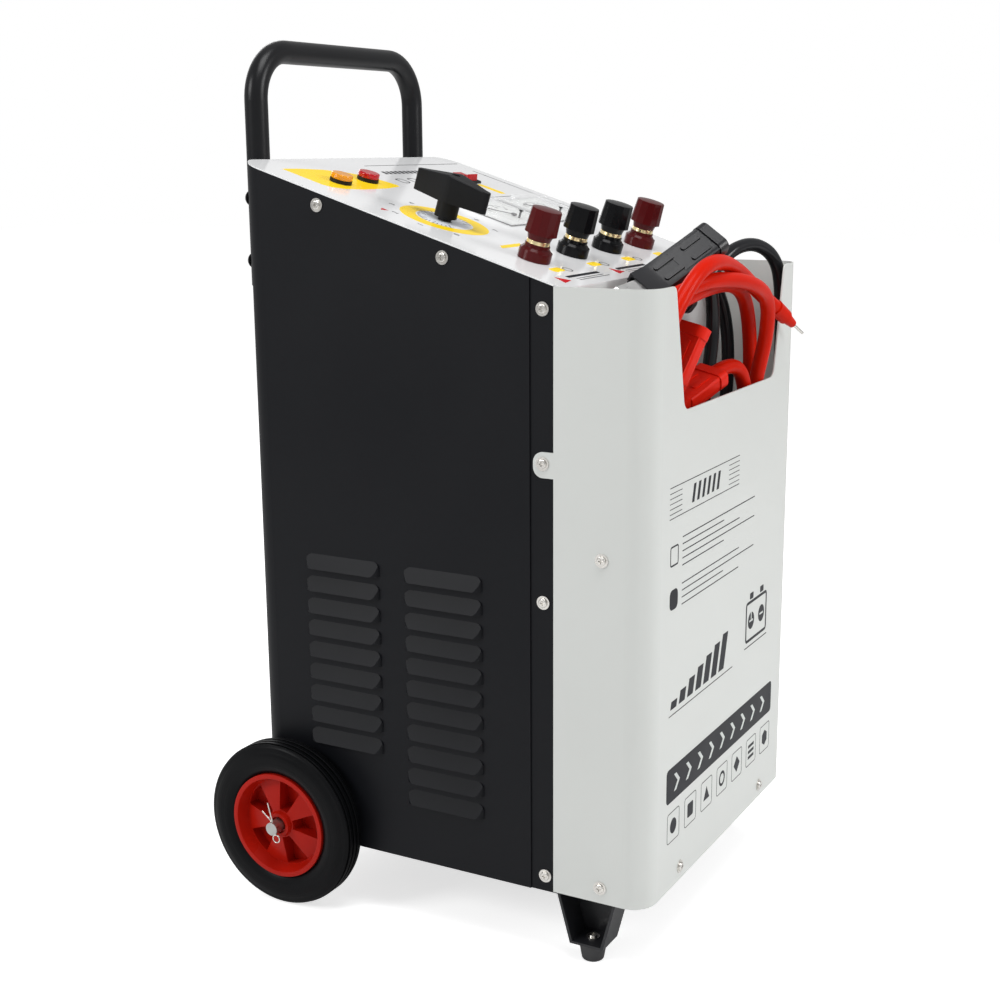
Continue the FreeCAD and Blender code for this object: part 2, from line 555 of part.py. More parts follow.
# Selector knob, its shaft and the switch under the panel.
SHAFT_R = 5.0
KNOB_LOW = 5.0
KNOB_BAR_LOW = 21.0
KNOB_END_TOP = 42.0
KNOB_TOP = 48.0
SHAFT_TOP = 38.0
KNOB_SCREW_R = 2.2
KNOB_SCREW_LOW = 42.0
half_end = 5.0
half_waist = 14.5
bar_half = 42.5
bar = face_of([arc((-half_end, bar_half - half_end, 0), (0, bar_half, 0),
                   (half_end, bar_half - half_end, 0)),
               line((half_end, bar_half - half_end, 0), (half_waist - 0.5, 5, 0)),
               arc((half_waist - 0.5, 5, 0), (half_waist, 0, 0), (half_waist - 0.5, -5, 0)),
               line((half_waist - 0.5, -5, 0), (half_end, half_end - bar_half, 0)),
               arc((half_end, half_end - bar_half, 0), (0, -bar_half, 0),
                   (-half_end, half_end - bar_half, 0)),
               line((-half_end, half_end - bar_half, 0), (0.5 - half_waist, -5, 0)),
               arc((0.5 - half_waist, -5, 0), (-half_waist, 0, 0), (0.5 - half_waist, 5, 0)),
               line((0.5 - half_waist, 5, 0), (-half_end, bar_half - half_end, 0))])
bar = bar.extrude(V(0, 0, KNOB_TOP - KNOB_BAR_LOW + 1))
fall = (KNOB_TOP - KNOB_END_TOP) / bar_half
roof = [(-20, -60, -1), (-20, -60, KNOB_TOP - KNOB_BAR_LOW - 60 * fall), (-20, 0, KNOB_TOP - KNOB_BAR_LOW),
        (-20, 60, KNOB_TOP - KNOB_BAR_LOW - 60 * fall), (-20, 60, -1)]
bar = bar.common(polygon(roof).extrude(V(40, 0, 0)))
bar = bar.makeChamfer(0.9, [e for e in bar.Edges
                            if e.CenterOfMass.z > KNOB_END_TOP - KNOB_BAR_LOW - 1 and e.Length > 8.0
                            and abs(e.CenterOfMass.x) > 1.0])
bar.translate(V(KNOB[0], KNOB[1], KNOB_BAR_LOW))
stem = panel_disc(KNOB, 11.5, KNOB_LOW, KNOB_BAR_LOW)
knob = fuse([bar, stem])
knob = knob.cut([panel_disc(KNOB, SHAFT_R, 0, SHAFT_TOP),
                 panel_disc(KNOB, KNOB_SCREW_R, SHAFT_TOP - 2, KNOB_SCREW_LOW + 2),
                 panel_disc(KNOB, 4.5, KNOB_SCREW_LOW, KNOB_TOP + 2)])
shaft = fuse([panel_disc(KNOB, SHAFT_R, -30, SHAFT_TOP),
              panel_disc(KNOB, KNOB_SCREW_R, SHAFT_TOP - 1, KNOB_SCREW_LOW + 1),
              panel_disc(KNOB, 4.0, KNOB_SCREW_LOW, KNOB_SCREW_LOW + 2.5)])
shaft = shaft.cut(box(KNOB[0] - 5, KNOB[0] + 5, KNOB[1] - 0.5, KNOB[1] + 0.5,
                      KNOB_SCREW_LOW + 1.3, KNOB_TOP))
switch = box(KNOB[0] - 28, KNOB[0] + 28, KNOB[1] - 28, KNOB[1] + 28, -36, -1)
switch = fuse([switch, panel_disc(KNOB, BUSH_R, -10, PANEL_TOP), panel_disc(KNOB, 14, -1, 0),
               panel_disc(KNOB, BUSH_R - 1, -10, KNOB_LOW - 1)])
switch = switch.cut(panel_disc(KNOB, SHAFT_R + RUNNING, -30, 20))

# Lamps: dark base ring, coloured lens, small body through the panel.
lamp_parts = []
lens_parts = []
LAMP_R = 11.6
LAMP_SEAT = 5.5
LAMP_TOP = 11.0
LAMP_SOCKET_R = 7.0
for lamp in (AMBER_LAMP, RED_LAMP):
    base = fuse([panel_disc(lamp, LAMP_R, PANEL_TOP, LAMP_SEAT),
                 panel_disc(lamp, BUSH_R, -22, LAMP_SEAT), panel_disc(lamp, LAMP_R - 0.8, -4, 0)])
    lamp_parts.append(base.cut(panel_disc(lamp, LAMP_SOCKET_R, -18, LAMP_TOP)))
    lens = panel_disc(lamp, LAMP_R - 0.3, LAMP_SEAT, LAMP_TOP)
    lens = lens.makeFillet(1.4, [e for e in lens.Edges if abs(e.CenterOfMass.z - LAMP_TOP) < 1e-3])
    lens_parts.append(fuse([lens, panel_disc(lamp, LAMP_SOCKET_R, -2, LAMP_SEAT + 0.5)]))

# Rocker switch.
rocker_x, rocker_u = ROCKER
BEZEL_TOP = 4.5
ROCKER_PIVOT_H = 1.0
ROCKER_TILT = -12.0
BUTTON_HALF = (9.1, 11.3)
BUTTON_END_TOP = 9.0
BUTTON_MIDDLE_TOP = 6.2
bezel = box(rocker_x - 12.5, rocker_x + 12.5, rocker_u - 15, rocker_u + 15, PANEL_TOP, BEZEL_TOP)
bezel = bezel.makeChamfer(1.0, [e for e in bezel.Edges if abs(e.CenterOfMass.z - BEZEL_TOP) < 1e-3])
body_x, body_u = ROCKER_BODY_HALF
bezel = fuse([bezel, box(rocker_x - body_x, rocker_x + body_x, rocker_u - body_u,
                         rocker_u + body_u, -24, 2)])
bezel = bezel.cut(box(rocker_x - BUTTON_HALF[0] - 0.3, rocker_x + BUTTON_HALF[0] + 0.3,
                      rocker_u - BUTTON_HALF[1] - 1.3, rocker_u + BUTTON_HALF[1] + 1.3, -14, 10))
pin = cylinder((rocker_x - 10, rocker_u, ROCKER_PIVOT_H), X_AXIS, 1.5, 20)
bezel = bezel.fuse(pin)
button_line = [(BUTTON_HALF[1], BUTTON_END_TOP), (0, BUTTON_MIDDLE_TOP), (-BUTTON_HALF[1], BUTTON_END_TOP),
               (-BUTTON_HALF[1], 1.0), (-6, -5), (6, -5), (BUTTON_HALF[1], 1.0)]
button = polygon([(rocker_x - BUTTON_HALF[0], rocker_u + u, h) for u, h in button_line])
button = button.extrude(V(2 * BUTTON_HALF[0], 0, 0))
button = button.cut(cylinder((rocker_x - 20, rocker_u, ROCKER_PIVOT_H), X_AXIS, 1.5 + RUNNING, 40))
button.rotate(V(rocker_x, rocker_u, ROCKER_PIVOT_H), X_AXIS, ROCKER_TILT)

# Panel meters: body under the panel, scale plate, needle and clear stepped cover.
METER_STEP = 5.0
METER_TOP = 11.0
METER_INSET = 14.0
COVER_WALL = 1.6
DIAL_LOW = 2.5
DIAL_TOP = 3.3
meter_bodies = []
meter_covers = []
meter_scales = []
meter_needles = []
needle_length = 35.0
needle_rest = 42.0
for x in METER_X:
    half_x = METER_SIZE[0] / 2 - 0.2
    low_u = METER_U - METER_SIZE[1] / 2
    high_u = METER_U + METER_SIZE[1] / 2
    body = fuse([panel_disc((x, METER_U), METER_BODY_R, -34, 2),
                 box(x - half_x + 2, x + half_x - 2, low_u + 2, high_u - 2, PANEL_TOP, DIAL_LOW)])
    staff = panel_disc((x, PIVOT_U), 1.0, 2, 6.2)
    zero = fuse([panel_disc((x, PIVOT_U - 7), 1.2, 2, METER_TOP),
                 panel_disc((x, PIVOT_U - 7), 2.4, METER_TOP, METER_TOP + 0.8)])
    zero = zero.cut(box(x - 3, x + 3, PIVOT_U - 7.3, PIVOT_U - 6.7, METER_TOP + 0.3, METER_TOP + 2))
    meter_bodies.append(fuse([body, staff, zero]))
    scale = box(x - half_x + 2, x + half_x - 2, low_u + 2, high_u - 2, DIAL_LOW, DIAL_TOP)
    scale = scale.cut([panel_disc((x, PIVOT_U), 1.0, 0, 9), panel_disc((x, PIVOT_U - 7), 1.2, 0, 9)])
    meter_scales.append(scale)
    low_step = box(x - half_x, x + half_x, low_u, high_u, PANEL_TOP, METER_STEP)
    top_step = box(x - half_x + METER_INSET, x + half_x - METER_INSET, low_u + 9, high_u - 6,
                   METER_STEP, METER_TOP)
    upright = [e for e in top_step.Edges if abs(e.Length - METER_TOP + METER_STEP) < 1e-3]
    top_step = top_step.makeFillet(3.0, upright)
    low_hollow = box(x - half_x + COVER_WALL, x + half_x - COVER_WALL, low_u + COVER_WALL,
                     high_u - COVER_WALL, 0, METER_STEP - 0.9)
    top_hollow = box(x - half_x + METER_INSET + COVER_WALL, x + half_x - METER_INSET - COVER_WALL,
                     low_u + 9 + COVER_WALL, high_u - 6 - COVER_WALL, 0, METER_TOP - COVER_WALL)
    clear = fuse([low_step, top_step]).cut([low_hollow, top_hollow,
                                            panel_disc((x, PIVOT_U - 7), 1.2, 0, 20)])
    meter_covers.append(clear)
    needle = fuse([panel_disc((x, PIVOT_U), 3.0, 4.4, 6.0),
                   box(x - 0.6, x + 0.6, PIVOT_U, PIVOT_U + needle_length, 4.8, 5.4)])
    needle = needle.cut(panel_disc((x, PIVOT_U), 1.0 + RUNNING, 0, 9))
    needle.rotate(V(x, PIVOT_U, 0), Z_AXIS, needle_rest)
    meter_needles.append(needle)

# Binding posts.
STUD_R = 5.0
BASE_R = 16.4
FLANGE_TOP = 11.3
SHOULDER_TOP = 13.8
BASE_NECK_R = 12.5
BASE_TOP = 17.2
RING_R = 11.4
RING_TOP = 21.0
SKIRT_LOW = 27.3
CAP_R = 16.3
CAP_EDGE_TOP = 51.0
CAP_TOP = 52.0
CAP_TAPER = 1.4
CAP_FACETS = 12
bases = []
studs = []
rings = []
caps = []


def panel_cone(centre, low_r, high_r, low, high):
    return Part.makeCone(low_r, high_r, high - low, V(centre[0], centre[1], low), Z_AXIS)


def facets(centre, radius, height):
    points = []
    for facet in range(CAP_FACETS):
        angle = math.pi * (2 * facet + 1) / CAP_FACETS
        points.append(V(centre[0] + radius * math.cos(angle), centre[1] + radius * math.sin(angle),
                        height))
    return Part.makePolygon(points + [points[0]])


for x in POST_X:
    at = (x, POST_U)
    base = fuse([panel_disc(at, BASE_R, PANEL_TOP, FLANGE_TOP),
                 panel_cone(at, BASE_R - 1.0, BASE_NECK_R + 0.8, FLANGE_TOP, SHOULDER_TOP),
                 panel_disc(at, BASE_NECK_R, SHOULDER_TOP, BASE_TOP),
                 panel_disc(at, POST_NECK_R, -2.5, PANEL_TOP)])
    insulator = panel_disc(at, 15.0, -5.5, 0).cut(panel_disc(at, POST_NECK_R, -2.5, 2))
    bases.append(fuse([base, insulator]).cut(panel_disc(at, STUD_R + RUNNING, -40, 30)))
    nut = panel_disc(at, 9.5, -12.0, -5.5)
    studs.append(fuse([panel_disc(at, STUD_R, -25, CAP_EDGE_TOP - 7.0), nut]))
    ring = panel_disc(at, RING_R, BASE_TOP, RING_TOP)
    ring = ring.cut(panel_disc(at, STUD_R + RUNNING, 0, 40))
    rings.append(ring)
    grip = Part.makeLoft([facets(at, CAP_R, SKIRT_LOW), facets(at, CAP_R - CAP_TAPER, CAP_TOP)], True)
    grip = grip.common(Part.makeSphere(120.0, V(x, POST_U, CAP_TOP - 120.0)))
    cap = fuse([grip, panel_cone(at, RING_R - 0.2, BASE_NECK_R + 0.4, RING_TOP, SKIRT_LOW)])
    caps.append(cap.cut(panel_disc(at, STUD_R + RUNNING, 0, CAP_EDGE_TOP - 2.0)))

# Works inside the case.
core = box(-90, 90, -60, 40, 82, 232)
core = core.cut([box(-60, -30, -70, 50, 112, 202), box(30, 60, -70, 50, 112, 202)])
core_feet = pair(box(78, 104, -60, 40, pan_floor_z, 82))
core = fuse([core] + core_feet)
coils = box(-59, 59, -88, 68, 113, 201).cut(box(-30, 30, -60, 40, 60, 240))
coils = coils.makeFillet(12, [e for e in coils.Edges
                              if abs(e.Length - 88) < 1e-3 and abs(e.CenterOfMass.x) > 50])
plates = []
diodes = []
for plate_y in (92.0, 122.0):
    fin = box(-80, 80, plate_y, plate_y + 4, pan_floor_z, 210)
    lip = box(-80, 80, plate_y, plate_y + 16, pan_floor_z, pan_floor_z + 4)
    fin = fuse([fin, lip])
    for side in (-40, 40):
        fin = fin.cut(cylinder((side, plate_y - 1, 170), Y_AXIS, 6.4, 10))
        diode = fuse([cylinder((side, plate_y - 3, 170), Y_AXIS, 6.4, 8),
                      cylinder((side, plate_y - 8, 170), Y_AXIS, 8.5, 8)])
        diodes.append(diode)
    plates.append(fin)

# Lead clamps. Drawn in their own frame: X from the jaws to the grips, Y across
# the opening, Z along the pivot, then placed by pivot, direction and squeeze side.
GRIP_HALF = 16.5
GRIP_WALL = 2.5
SLEEVE_HALF = 17.5
SLEEVE_START = 42.0
COLLAR_HALF = 19.0
COLLAR_START = 89.5
EAR_R = 9.0
EAR_INNER_R = 8.0
PIVOT_R = 2.5
JAW_HALF = 9.0
WIRE_R = 0.8
COIL_R = PIVOT_R + WIRE_R + RUNNING
JAW_TIP_X = -58.0
lever = math.radians(GRIP_ANGLE)


def along_grip(s, t):
    return (s * math.cos(lever) - t * math.sin(lever), s * math.sin(lever) + t * math.cos(lever))


def flat(points, low, high):
    return polygon([(p[0], p[1], low) for p in points]).extrude(V(0, 0, high - low))


outer_line = [(-12, 11), (10, 13.5), along_grip(COLLAR_START, 8)]
inner_line = [(-12, 8.8), (10, 11.3), along_grip(COLLAR_START, 5.8)]
side_outline = outer_line + [along_grip(COLLAR_START, -8), (40, 7.5), (18, 3.35), (0, 0), (-12, 3)]
filled = [along_grip(34, 6), along_grip(COLLAR_START, 6), along_grip(COLLAR_START, -8), (40, 7.5),
          (34, 6.4)]


def rounded_bar(start, end, low, high, half, low_r, high_r):
    bar_piece = box(start, end, low, high, -half, half)
    for radius, side_t in ((low_r, low), (high_r, high)):
        corners = [e for e in bar_piece.Edges if abs(e.Length - end + start) < 1e-3
                   and abs(e.CenterOfMass.y - side_t) < 1e-3]
        bar_piece = bar_piece.makeFillet(radius, corners)
    return bar_piece


def grip_pad(middle, z, low, high):
    pad_piece = box(middle - 11, middle + 11, low, high, z - 2.6, z + 2.6)
    ends = [cylinder((middle + side * 11, low, z), Y_AXIS, 2.6, high - low) for side in (-1, 1)]
    return pad_piece.fuse(ends)


def make_grip(nested):
    top = flat(outer_line + inner_line[::-1], -GRIP_HALF, GRIP_HALF)
    pieces = [top]
    for side in (-1, 1):
        outside = GRIP_HALF
        inside = GRIP_HALF - GRIP_WALL
        if nested:
            wall_piece = flat(side_outline, inside, outside)
            wall_piece = wall_piece.cut(box(-40, 22, -40, 9.6, inside - 1, outside + 1))
            wall_piece = wall_piece.cut(cylinder((0, 0, inside - 1), Z_AXIS, 22, 5))
            ear = flat([(-12, 9.2), (10, 11.6), along_grip(32, 6), (30, 5.5), (18, 3.35), (0, 0),
                        (-12, 3)], inside - 2.8, inside - 0.3)
            ear = ear.fuse(cylinder((0, 0, inside - 2.8), Z_AXIS, EAR_INNER_R, 2.5))
            bridge = flat([along_grip(24, 6.5), along_grip(30, 6.5), along_grip(30, -4),
                           along_grip(24, -4)], inside - 2.8, outside)
            side_piece = fuse([wall_piece, ear, bridge])
        else:
            ear = cylinder((0, 0, inside), Z_AXIS, EAR_R, GRIP_WALL)
            side_piece = fuse([flat(side_outline, inside, outside), ear])
        if side < 0:
            side_piece = side_piece.mirror(V(0, 0, 0), Z_AXIS)
        pieces.append(side_piece)
    pieces.append(flat(filled, 1 - GRIP_HALF, GRIP_HALF - 1))
    moulded = [rounded_bar(SLEEVE_START, COLLAR_START + 1, -8, 8.8, SLEEVE_HALF, 4.0, 5.5),
               rounded_bar(COLLAR_START, GRIP_LENGTH, -9.3, 10.4, COLLAR_HALF, 6.0, 8.0)]
    for z in (-7.5, 7.5):
        moulded += [grip_pad(32, z, 7.0, 10.2), grip_pad(71, z, 7.0, 10.2),
                    grip_pad(71, z, -9.4, -7.0)]
    pieces += [turned_lever(piece) for piece in moulded]
    hole = PIVOT_R if nested else PIVOT_R + RUNNING
    return fuse(pieces).cut(cylinder((0, 0, -30), Z_AXIS, hole, 60))


def turned_lever(shape):
    placed = shape.copy()
    placed.rotate(V(0, 0, 0), Z_AXIS, GRIP_ANGLE)
    return placed


def make_jaw():
    top = [(JAW_TIP_X, 4.0), (-44, 9.5), (-12, 8.8), (10, 11.3), along_grip(26, 5.8)]
    under = [along_grip(26, 4.3), (10.4, 9.8), (-12, 7.3), (-43.6, 8.0), (JAW_TIP_X + 1.6, 3.2)]
    strip = flat(top + under, -JAW_HALF, JAW_HALF)
    cheek_outline = [(JAW_TIP_X, 4.0), (-44, 9.5), (-16, 8.9), (-16, 3.5), (-22, 0.2), (JAW_TIP_X, 0.2)]
    cheeks = [flat(cheek_outline, -JAW_HALF, -JAW_HALF + 1.5), flat(cheek_outline, JAW_HALF - 1.5, JAW_HALF)]
    front = box(JAW_TIP_X, JAW_TIP_X + 1.5, 0.2, 4.0, -JAW_HALF, JAW_HALF)
    jaw = fuse([strip] + cheeks + [front])
    teeth = []
    for tooth in range(7):
        x = JAW_TIP_X + 5.5 + tooth * 4.5
        teeth.append(flat([(x - 1.3, 0), (x, 2.0), (x + 1.3, 0)], -20, 20))
    return jaw.cut(teeth)


def spring_coil():
    turns = 6
    pitch = 2.2
    helix = Part.makeHelix(pitch, turns * pitch, COIL_R)
    ring = Part.Wire([Part.makeCircle(WIRE_R, V(COIL_R, 0, 0), V(0, COIL_R * 2 * math.pi, pitch))])
    coil = Part.Wire(helix).makePipeShell([ring], True, True)
    coil.translate(V(0, 0, -turns * pitch / 2))
    return coil


def flipped(shape):
    return shape.mirror(V(0, 0, 0), Y_AXIS)


pivot_pin = fuse([cylinder((0, 0, -GRIP_HALF), Z_AXIS, PIVOT_R, 2 * GRIP_HALF),
                  cylinder((0, 0, -GRIP_HALF - 1.2), Z_AXIS, 4.0, 1.2),
                  cylinder((0, 0, GRIP_HALF), Z_AXIS, 4.0, 1.2)])
clamp_pieces = {"grip_moving": make_grip(False), "jaw_moving": make_jaw(),
                "grip_fixed": flipped(make_grip(True)), "jaw_fixed": flipped(make_jaw())}
hardware = [pivot_pin, spring_coil()]

# Where each clamp lies in the bin: pivot, direction of the grips, squeeze side.
RED_CLAMP = (V(-82.6, -197.4, 533.3), V(0.699, -0.276, 0.660), V(-0.682, 0.018, 0.731))
BLACK_CLAMP = (V(-91.0, -191.5, 660.0), V(0.972, -0.175, 0.158), V(-0.210, -0.551, 0.807))


def clamp_axes(clamp):
    pivot, along, squeeze = clamp
    along = V(along).normalize()
    squeeze = V(squeeze)
    squeeze = (squeeze - along * squeeze.dot(along)).normalize()
    return pivot, along, squeeze, along.cross(squeeze)


def in_bin(shape, clamp):
    pivot, along, squeeze, pin_axis = clamp_axes(clamp)
    matrix = FreeCAD.Matrix(along.x, squeeze.x, pin_axis.x, pivot.x,
                            along.y, squeeze.y, pin_axis.y, pivot.y,
                            along.z, squeeze.z, pin_axis.z, pivot.z, 0, 0, 0, 1)
    placed = shape.copy()
    placed.Placement = FreeCAD.Placement(matrix).multiply(shape.Placement)
    return placed


def cable_exit(clamp):
    pivot, along, squeeze, pin_axis = clamp_axes(clamp)
    direction = along * math.cos(lever) - squeeze * math.sin(lever)
    return pivot + direction * GRIP_LENGTH, direction


# Leads: straight runs joined by tangent arcs. The gap of a tube to its own other
# turns is measured between points along its path.
BLEND_SHARE = 0.45
SAMPLE_STEP = 2.0


def gap_to_itself(path, diameter):
    points = path.discretize(Distance=SAMPLE_STEP)
    skipped = int(2 * diameter / SAMPLE_STEP)
    least = path.Length
    for i in range(len(points) - skipped):
        for j in range(i + skipped, len(points)):
            least = min(least, points[i].distanceToPoint(points[j]))
    return least - diameter


def lead(points, diameter, label):
    edges = []
    current = points[0]
    smallest = 1e9
    for i in range(1, len(points) - 1):
        back = points[i - 1] - points[i]
        ahead = points[i + 1] - points[i]
        reach = BLEND_SHARE * min(back.Length, ahead.Length)
        half_turn = (math.pi - back.getAngle(ahead)) / 2
        radius = reach / math.tan(half_turn)
        smallest = min(smallest, radius)
        back.normalize()
        ahead.normalize()
        begin = points[i] + back * reach
        end = points[i] + ahead * reach
        middle_way = (back + ahead).normalize()
        middle = points[i] + middle_way * (radius / math.cos(half_turn) - radius)
        edges.append(Part.LineSegment(current, begin).toShape())
        edges.append(Part.Arc(begin, middle, end).toShape())
        current = end
    edges.append(Part.LineSegment(current, points[-1]).toShape())
    path = Part.Wire(edges)
    first = (points[1] - points[0]).normalize()
    ring = Part.Wire([Part.makeCircle(diameter / 2, points[0], first)])
    tube_shape = path.makePipeShell([ring], True, False)
    section = math.pi * diameter ** 2 / 4
    print(label, "length", round(path.Length), "least radius", round(smallest, 1),
          "gap to itself", round(gap_to_itself(path, diameter), 2),
          "volume ratio", round(tube_shape.Volume / (section * path.Length), 4))
    return tube_shape


def turned_cone(start_point, end_point, start_r, end_r):
    way = end_point - start_point
    return Part.makeCone(start_r, end_r, way.Length, start_point, way)


red_exit, red_way = cable_exit(RED_CLAMP)
black_exit, black_way = cable_exit(BLACK_CLAMP)
red_points = [red_exit, red_exit + red_way * 41.0] + [
    V(74.7, -237.6, 538.0), V(56.6, -237.6, 459.1), V(-1.4, -236.1, 418.8),
    V(-99.9, -231.4, 421.6), V(-155.9, -208.6, 459.7), V(-155.6, -200.7, 577.6),
    V(-120.2, -217.0, 639.8), V(-28.5, -231.6, 660.3), V(68.4, -226.6, 654.6),
    V(118.7, -220.8, 621.9), V(132.9, -220.0, 545.0), V(118.5, -219.0, 459.1),
    V(59.4, -220.0, 419.4), V(-80.3, -213.5, 414.7), V(-168.2, -204.1, 439.6),
    V(-194.1, -220.9, 530.2), V(-175.7, -210.9, 638.5), V(-91.9, -235.1, 662.6),
    V(-56.0, -247.7, 669.4), V(15.5, -259.1, 662.3), V(72.6, -258.4, 642.1),
    V(96.7, -249.3, 599.6), V(102.0, -236.2, 549.4), V(85.1, -229.4, 475.4),
    V(23.0, -212.6, 438.7), V(-70.5, -188.9, 416.9), V(-164.8, -185.7, 430.8),
    V(-181.9, -194.9, 539.9), V(-154.1, -233.8, 614.6), V(-109.8, -247.0, 674.1),
    V(-61.2, -251.2, 688.9), V(18.3, -243.9, 673.9), V(78.7, -243.7, 647.0),
    V(109.1, -253.0, 627.5),
]
black_points = [black_exit, black_exit + black_way * 45.0] + [
    V(95.0, -200.0, 682.7), V(139.4, -214.6, 694.0), V(168.6, -231.6, 677.3),
    V(183.4, -234.5, 637.1), V(177.0, -238.4, 544.2), V(167.3, -233.7, 448.8),
    V(109.7, -215.9, 420.2), V(16.2, -188.8, 412.4), V(-49.8, -170.9, 472.9),
    V(7.9, -169.8, 600.0), V(75.0, -168.5, 660.0), V(135.0, -170.0, 661.9),
    V(164.9, -182.0, 600.0), V(150.0, -186.0, 500.0), V(108.8, -177.1, 413.3),
    V(34.9, -182.7, 423.0), V(29.6, -202.1, 509.1), V(70.9, -202.0, 609.6),
    V(50.0, -204.0, 648.0),
]
red_cable = lead(red_points, RED_LEAD, "red lead")
black_cable = lead(black_points, BLACK_LEAD, "black lead")

# Moulded boot and pin at the free end of each lead.
BOOT_BODY = 22.0
BOOT_SLEEVE = 16.0
PIN_LENGTH = 22.0


def boot_and_pin(points, body_r):
    tip = points[-1]
    way = (tip - points[-2]).normalize()
    neck = tip + way * BOOT_BODY
    nose = neck + way * BOOT_SLEEVE
    boot_body = turned_cone(tip, neck, body_r, body_r - 1.0)
    sleeve = turned_cone(neck, nose, 6.5, 4.5)
    pin_shape = turned_cone(nose - way * 8, nose + way * PIN_LENGTH, 1.61, 1.6)
    return fuse([boot_body, sleeve]).cut(pin_shape), pin_shape


red_boot, red_pin = boot_and_pin(red_points, 9.0)
black_boot, black_pin = boot_and_pin(black_points, 8.0)
clamp_nodes = {"clamp_pins_and_springs": Part.makeCompound(
    [in_bin(piece, clamp) for clamp in (RED_CLAMP, BLACK_CLAMP) for piece in hardware]),
    "red_lead": red_cable, "black_lead": black_cable,
    "lead_boot_red": red_boot, "lead_boot_black": black_boot,
    "lead_pins": Part.makeCompound([red_pin, black_pin])}
for colour, clamp in (("red", RED_CLAMP), ("black", BLACK_CLAMP)):
    for piece_name, piece in clamp_pieces.items():
        clamp_nodes[colour + "_clamp_" + piece_name] = in_bin(piece, clamp)

structure = {
    "base_pan": base_pan, "casing_wrap": wrap, "inner_wall": inner_wall, "top_panel": top_panel,
    "front_cover": cover, "bin_floor": tray, "mains_gland": gland, "axle": axle,
    "wheel_hub_right": hub, "wheel_hub_left": mirrored(hub), "wheel_tyre_right": tyre,
    "wheel_tyre_left": mirrored(tyre), "axle_retainers": Part.makeCompound(axle_retainers),
    "foot_brackets": Part.makeCompound(pair(bracket)), "foot_pads": Part.makeCompound(pair(pad)),
    "handle_tube": tube, "handle_bolts": Part.makeCompound(handle_bolts),
    "case_screws": Part.makeCompound(case_screws),
    "transformer_core": core, "transformer_coils": coils,
    "rectifier_plates": Part.makeCompound(plates), "rectifier_diodes": Part.makeCompound(diodes),
}
panel_nodes = {
    "selector_knob": knob, "selector_shaft": shaft, "selector_switch": switch,
    "rocker_button": button, "rocker_frame": bezel,
    "lamp_amber_lens": lens_parts[0], "lamp_red_lens": lens_parts[1],
    "lamp_bodies": Part.makeCompound(lamp_parts),
    "meter_cases": Part.makeCompound(meter_bodies), "meter_windows": Part.makeCompound(meter_covers),
    "meter_dials": Part.makeCompound(meter_scales),
    "meter_needle_left": meter_needles[0], "meter_needle_right": meter_needles[1],
    "post_bases_red": Part.makeCompound([bases[0], bases[3]]),
    "post_bases_black": Part.makeCompound([bases[1], bases[2]]),
    "post_studs": Part.makeCompound(studs),
}
for number in range(4):
    panel_nodes["post_ring_" + str(number + 1)] = rings[number]
    panel_nodes["post_cap_" + str(number + 1)] = caps[number]

for name, shape in list(structure.items()) + list(clamp_nodes.items()):
    save(name, shape)
for name, shape in panel_nodes.items():
    save(name, on_panel(shape))
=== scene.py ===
import json
import math
import bmesh
import bpy
from mathutils import Matrix, Vector


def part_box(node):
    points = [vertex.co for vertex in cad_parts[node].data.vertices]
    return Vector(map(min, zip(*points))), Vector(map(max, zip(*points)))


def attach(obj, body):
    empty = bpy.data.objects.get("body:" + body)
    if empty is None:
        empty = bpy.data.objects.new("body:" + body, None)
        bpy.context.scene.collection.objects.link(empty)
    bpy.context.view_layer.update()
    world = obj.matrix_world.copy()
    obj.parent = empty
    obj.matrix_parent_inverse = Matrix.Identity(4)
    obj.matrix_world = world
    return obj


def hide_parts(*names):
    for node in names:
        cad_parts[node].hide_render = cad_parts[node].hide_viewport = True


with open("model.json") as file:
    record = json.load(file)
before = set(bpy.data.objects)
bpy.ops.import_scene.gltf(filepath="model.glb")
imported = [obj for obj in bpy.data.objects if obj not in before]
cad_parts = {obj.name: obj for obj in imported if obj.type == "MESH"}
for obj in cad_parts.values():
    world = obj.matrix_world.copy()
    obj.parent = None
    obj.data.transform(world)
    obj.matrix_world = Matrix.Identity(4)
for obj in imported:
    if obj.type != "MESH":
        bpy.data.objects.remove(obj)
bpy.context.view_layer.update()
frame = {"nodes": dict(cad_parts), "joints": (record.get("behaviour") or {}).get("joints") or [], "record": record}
nodes = frame["nodes"]
scene = bpy.context.scene
scene.view_settings.view_transform = "Standard"

# The photograph is taken from the front left of the machine and a little above
# it, with a moderately long lens and the camera turned by less than one degree.
camera_place = (-1.4639, -0.7914, 0.7911)
camera_azimuth = math.radians(-61.017)
camera_pitch = math.radians(12.712)
camera_roll = math.radians(-0.439)
looking = Vector((-math.sin(camera_azimuth) * math.cos(camera_pitch),
                  math.cos(camera_azimuth) * math.cos(camera_pitch), -math.sin(camera_pitch)))
level_right = looking.cross(Vector((0, 0, 1))).normalized()
level_up = level_right.cross(looking)
image_right = math.cos(camera_roll) * level_right + math.sin(camera_roll) * level_up
image_up = math.cos(camera_roll) * level_up - math.sin(camera_roll) * level_right
camera = bpy.data.objects.new("camera", bpy.data.cameras.new("camera"))
scene.collection.objects.link(camera)
camera.data.sensor_width = 36.0
camera.data.lens = 55.799
camera.data.clip_end = 50.0
turn = Matrix((image_right, image_up, -looking)).transposed().to_4x4()
camera.matrix_world = Matrix.Translation(camera_place) @ turn
scene.camera = camera

# The studio: a white floor that keeps a faint shadow, a white surround and
# soft lamps above, in front, at the left and behind. Gloss shows only a small
# share of the surround, and the floor lies just under the feet.
GLOSS_SHARE = 0.12
AMBIENT = 0.4
FLOOR_GLOW = 0.68
FLOOR_DROP = 0.0004


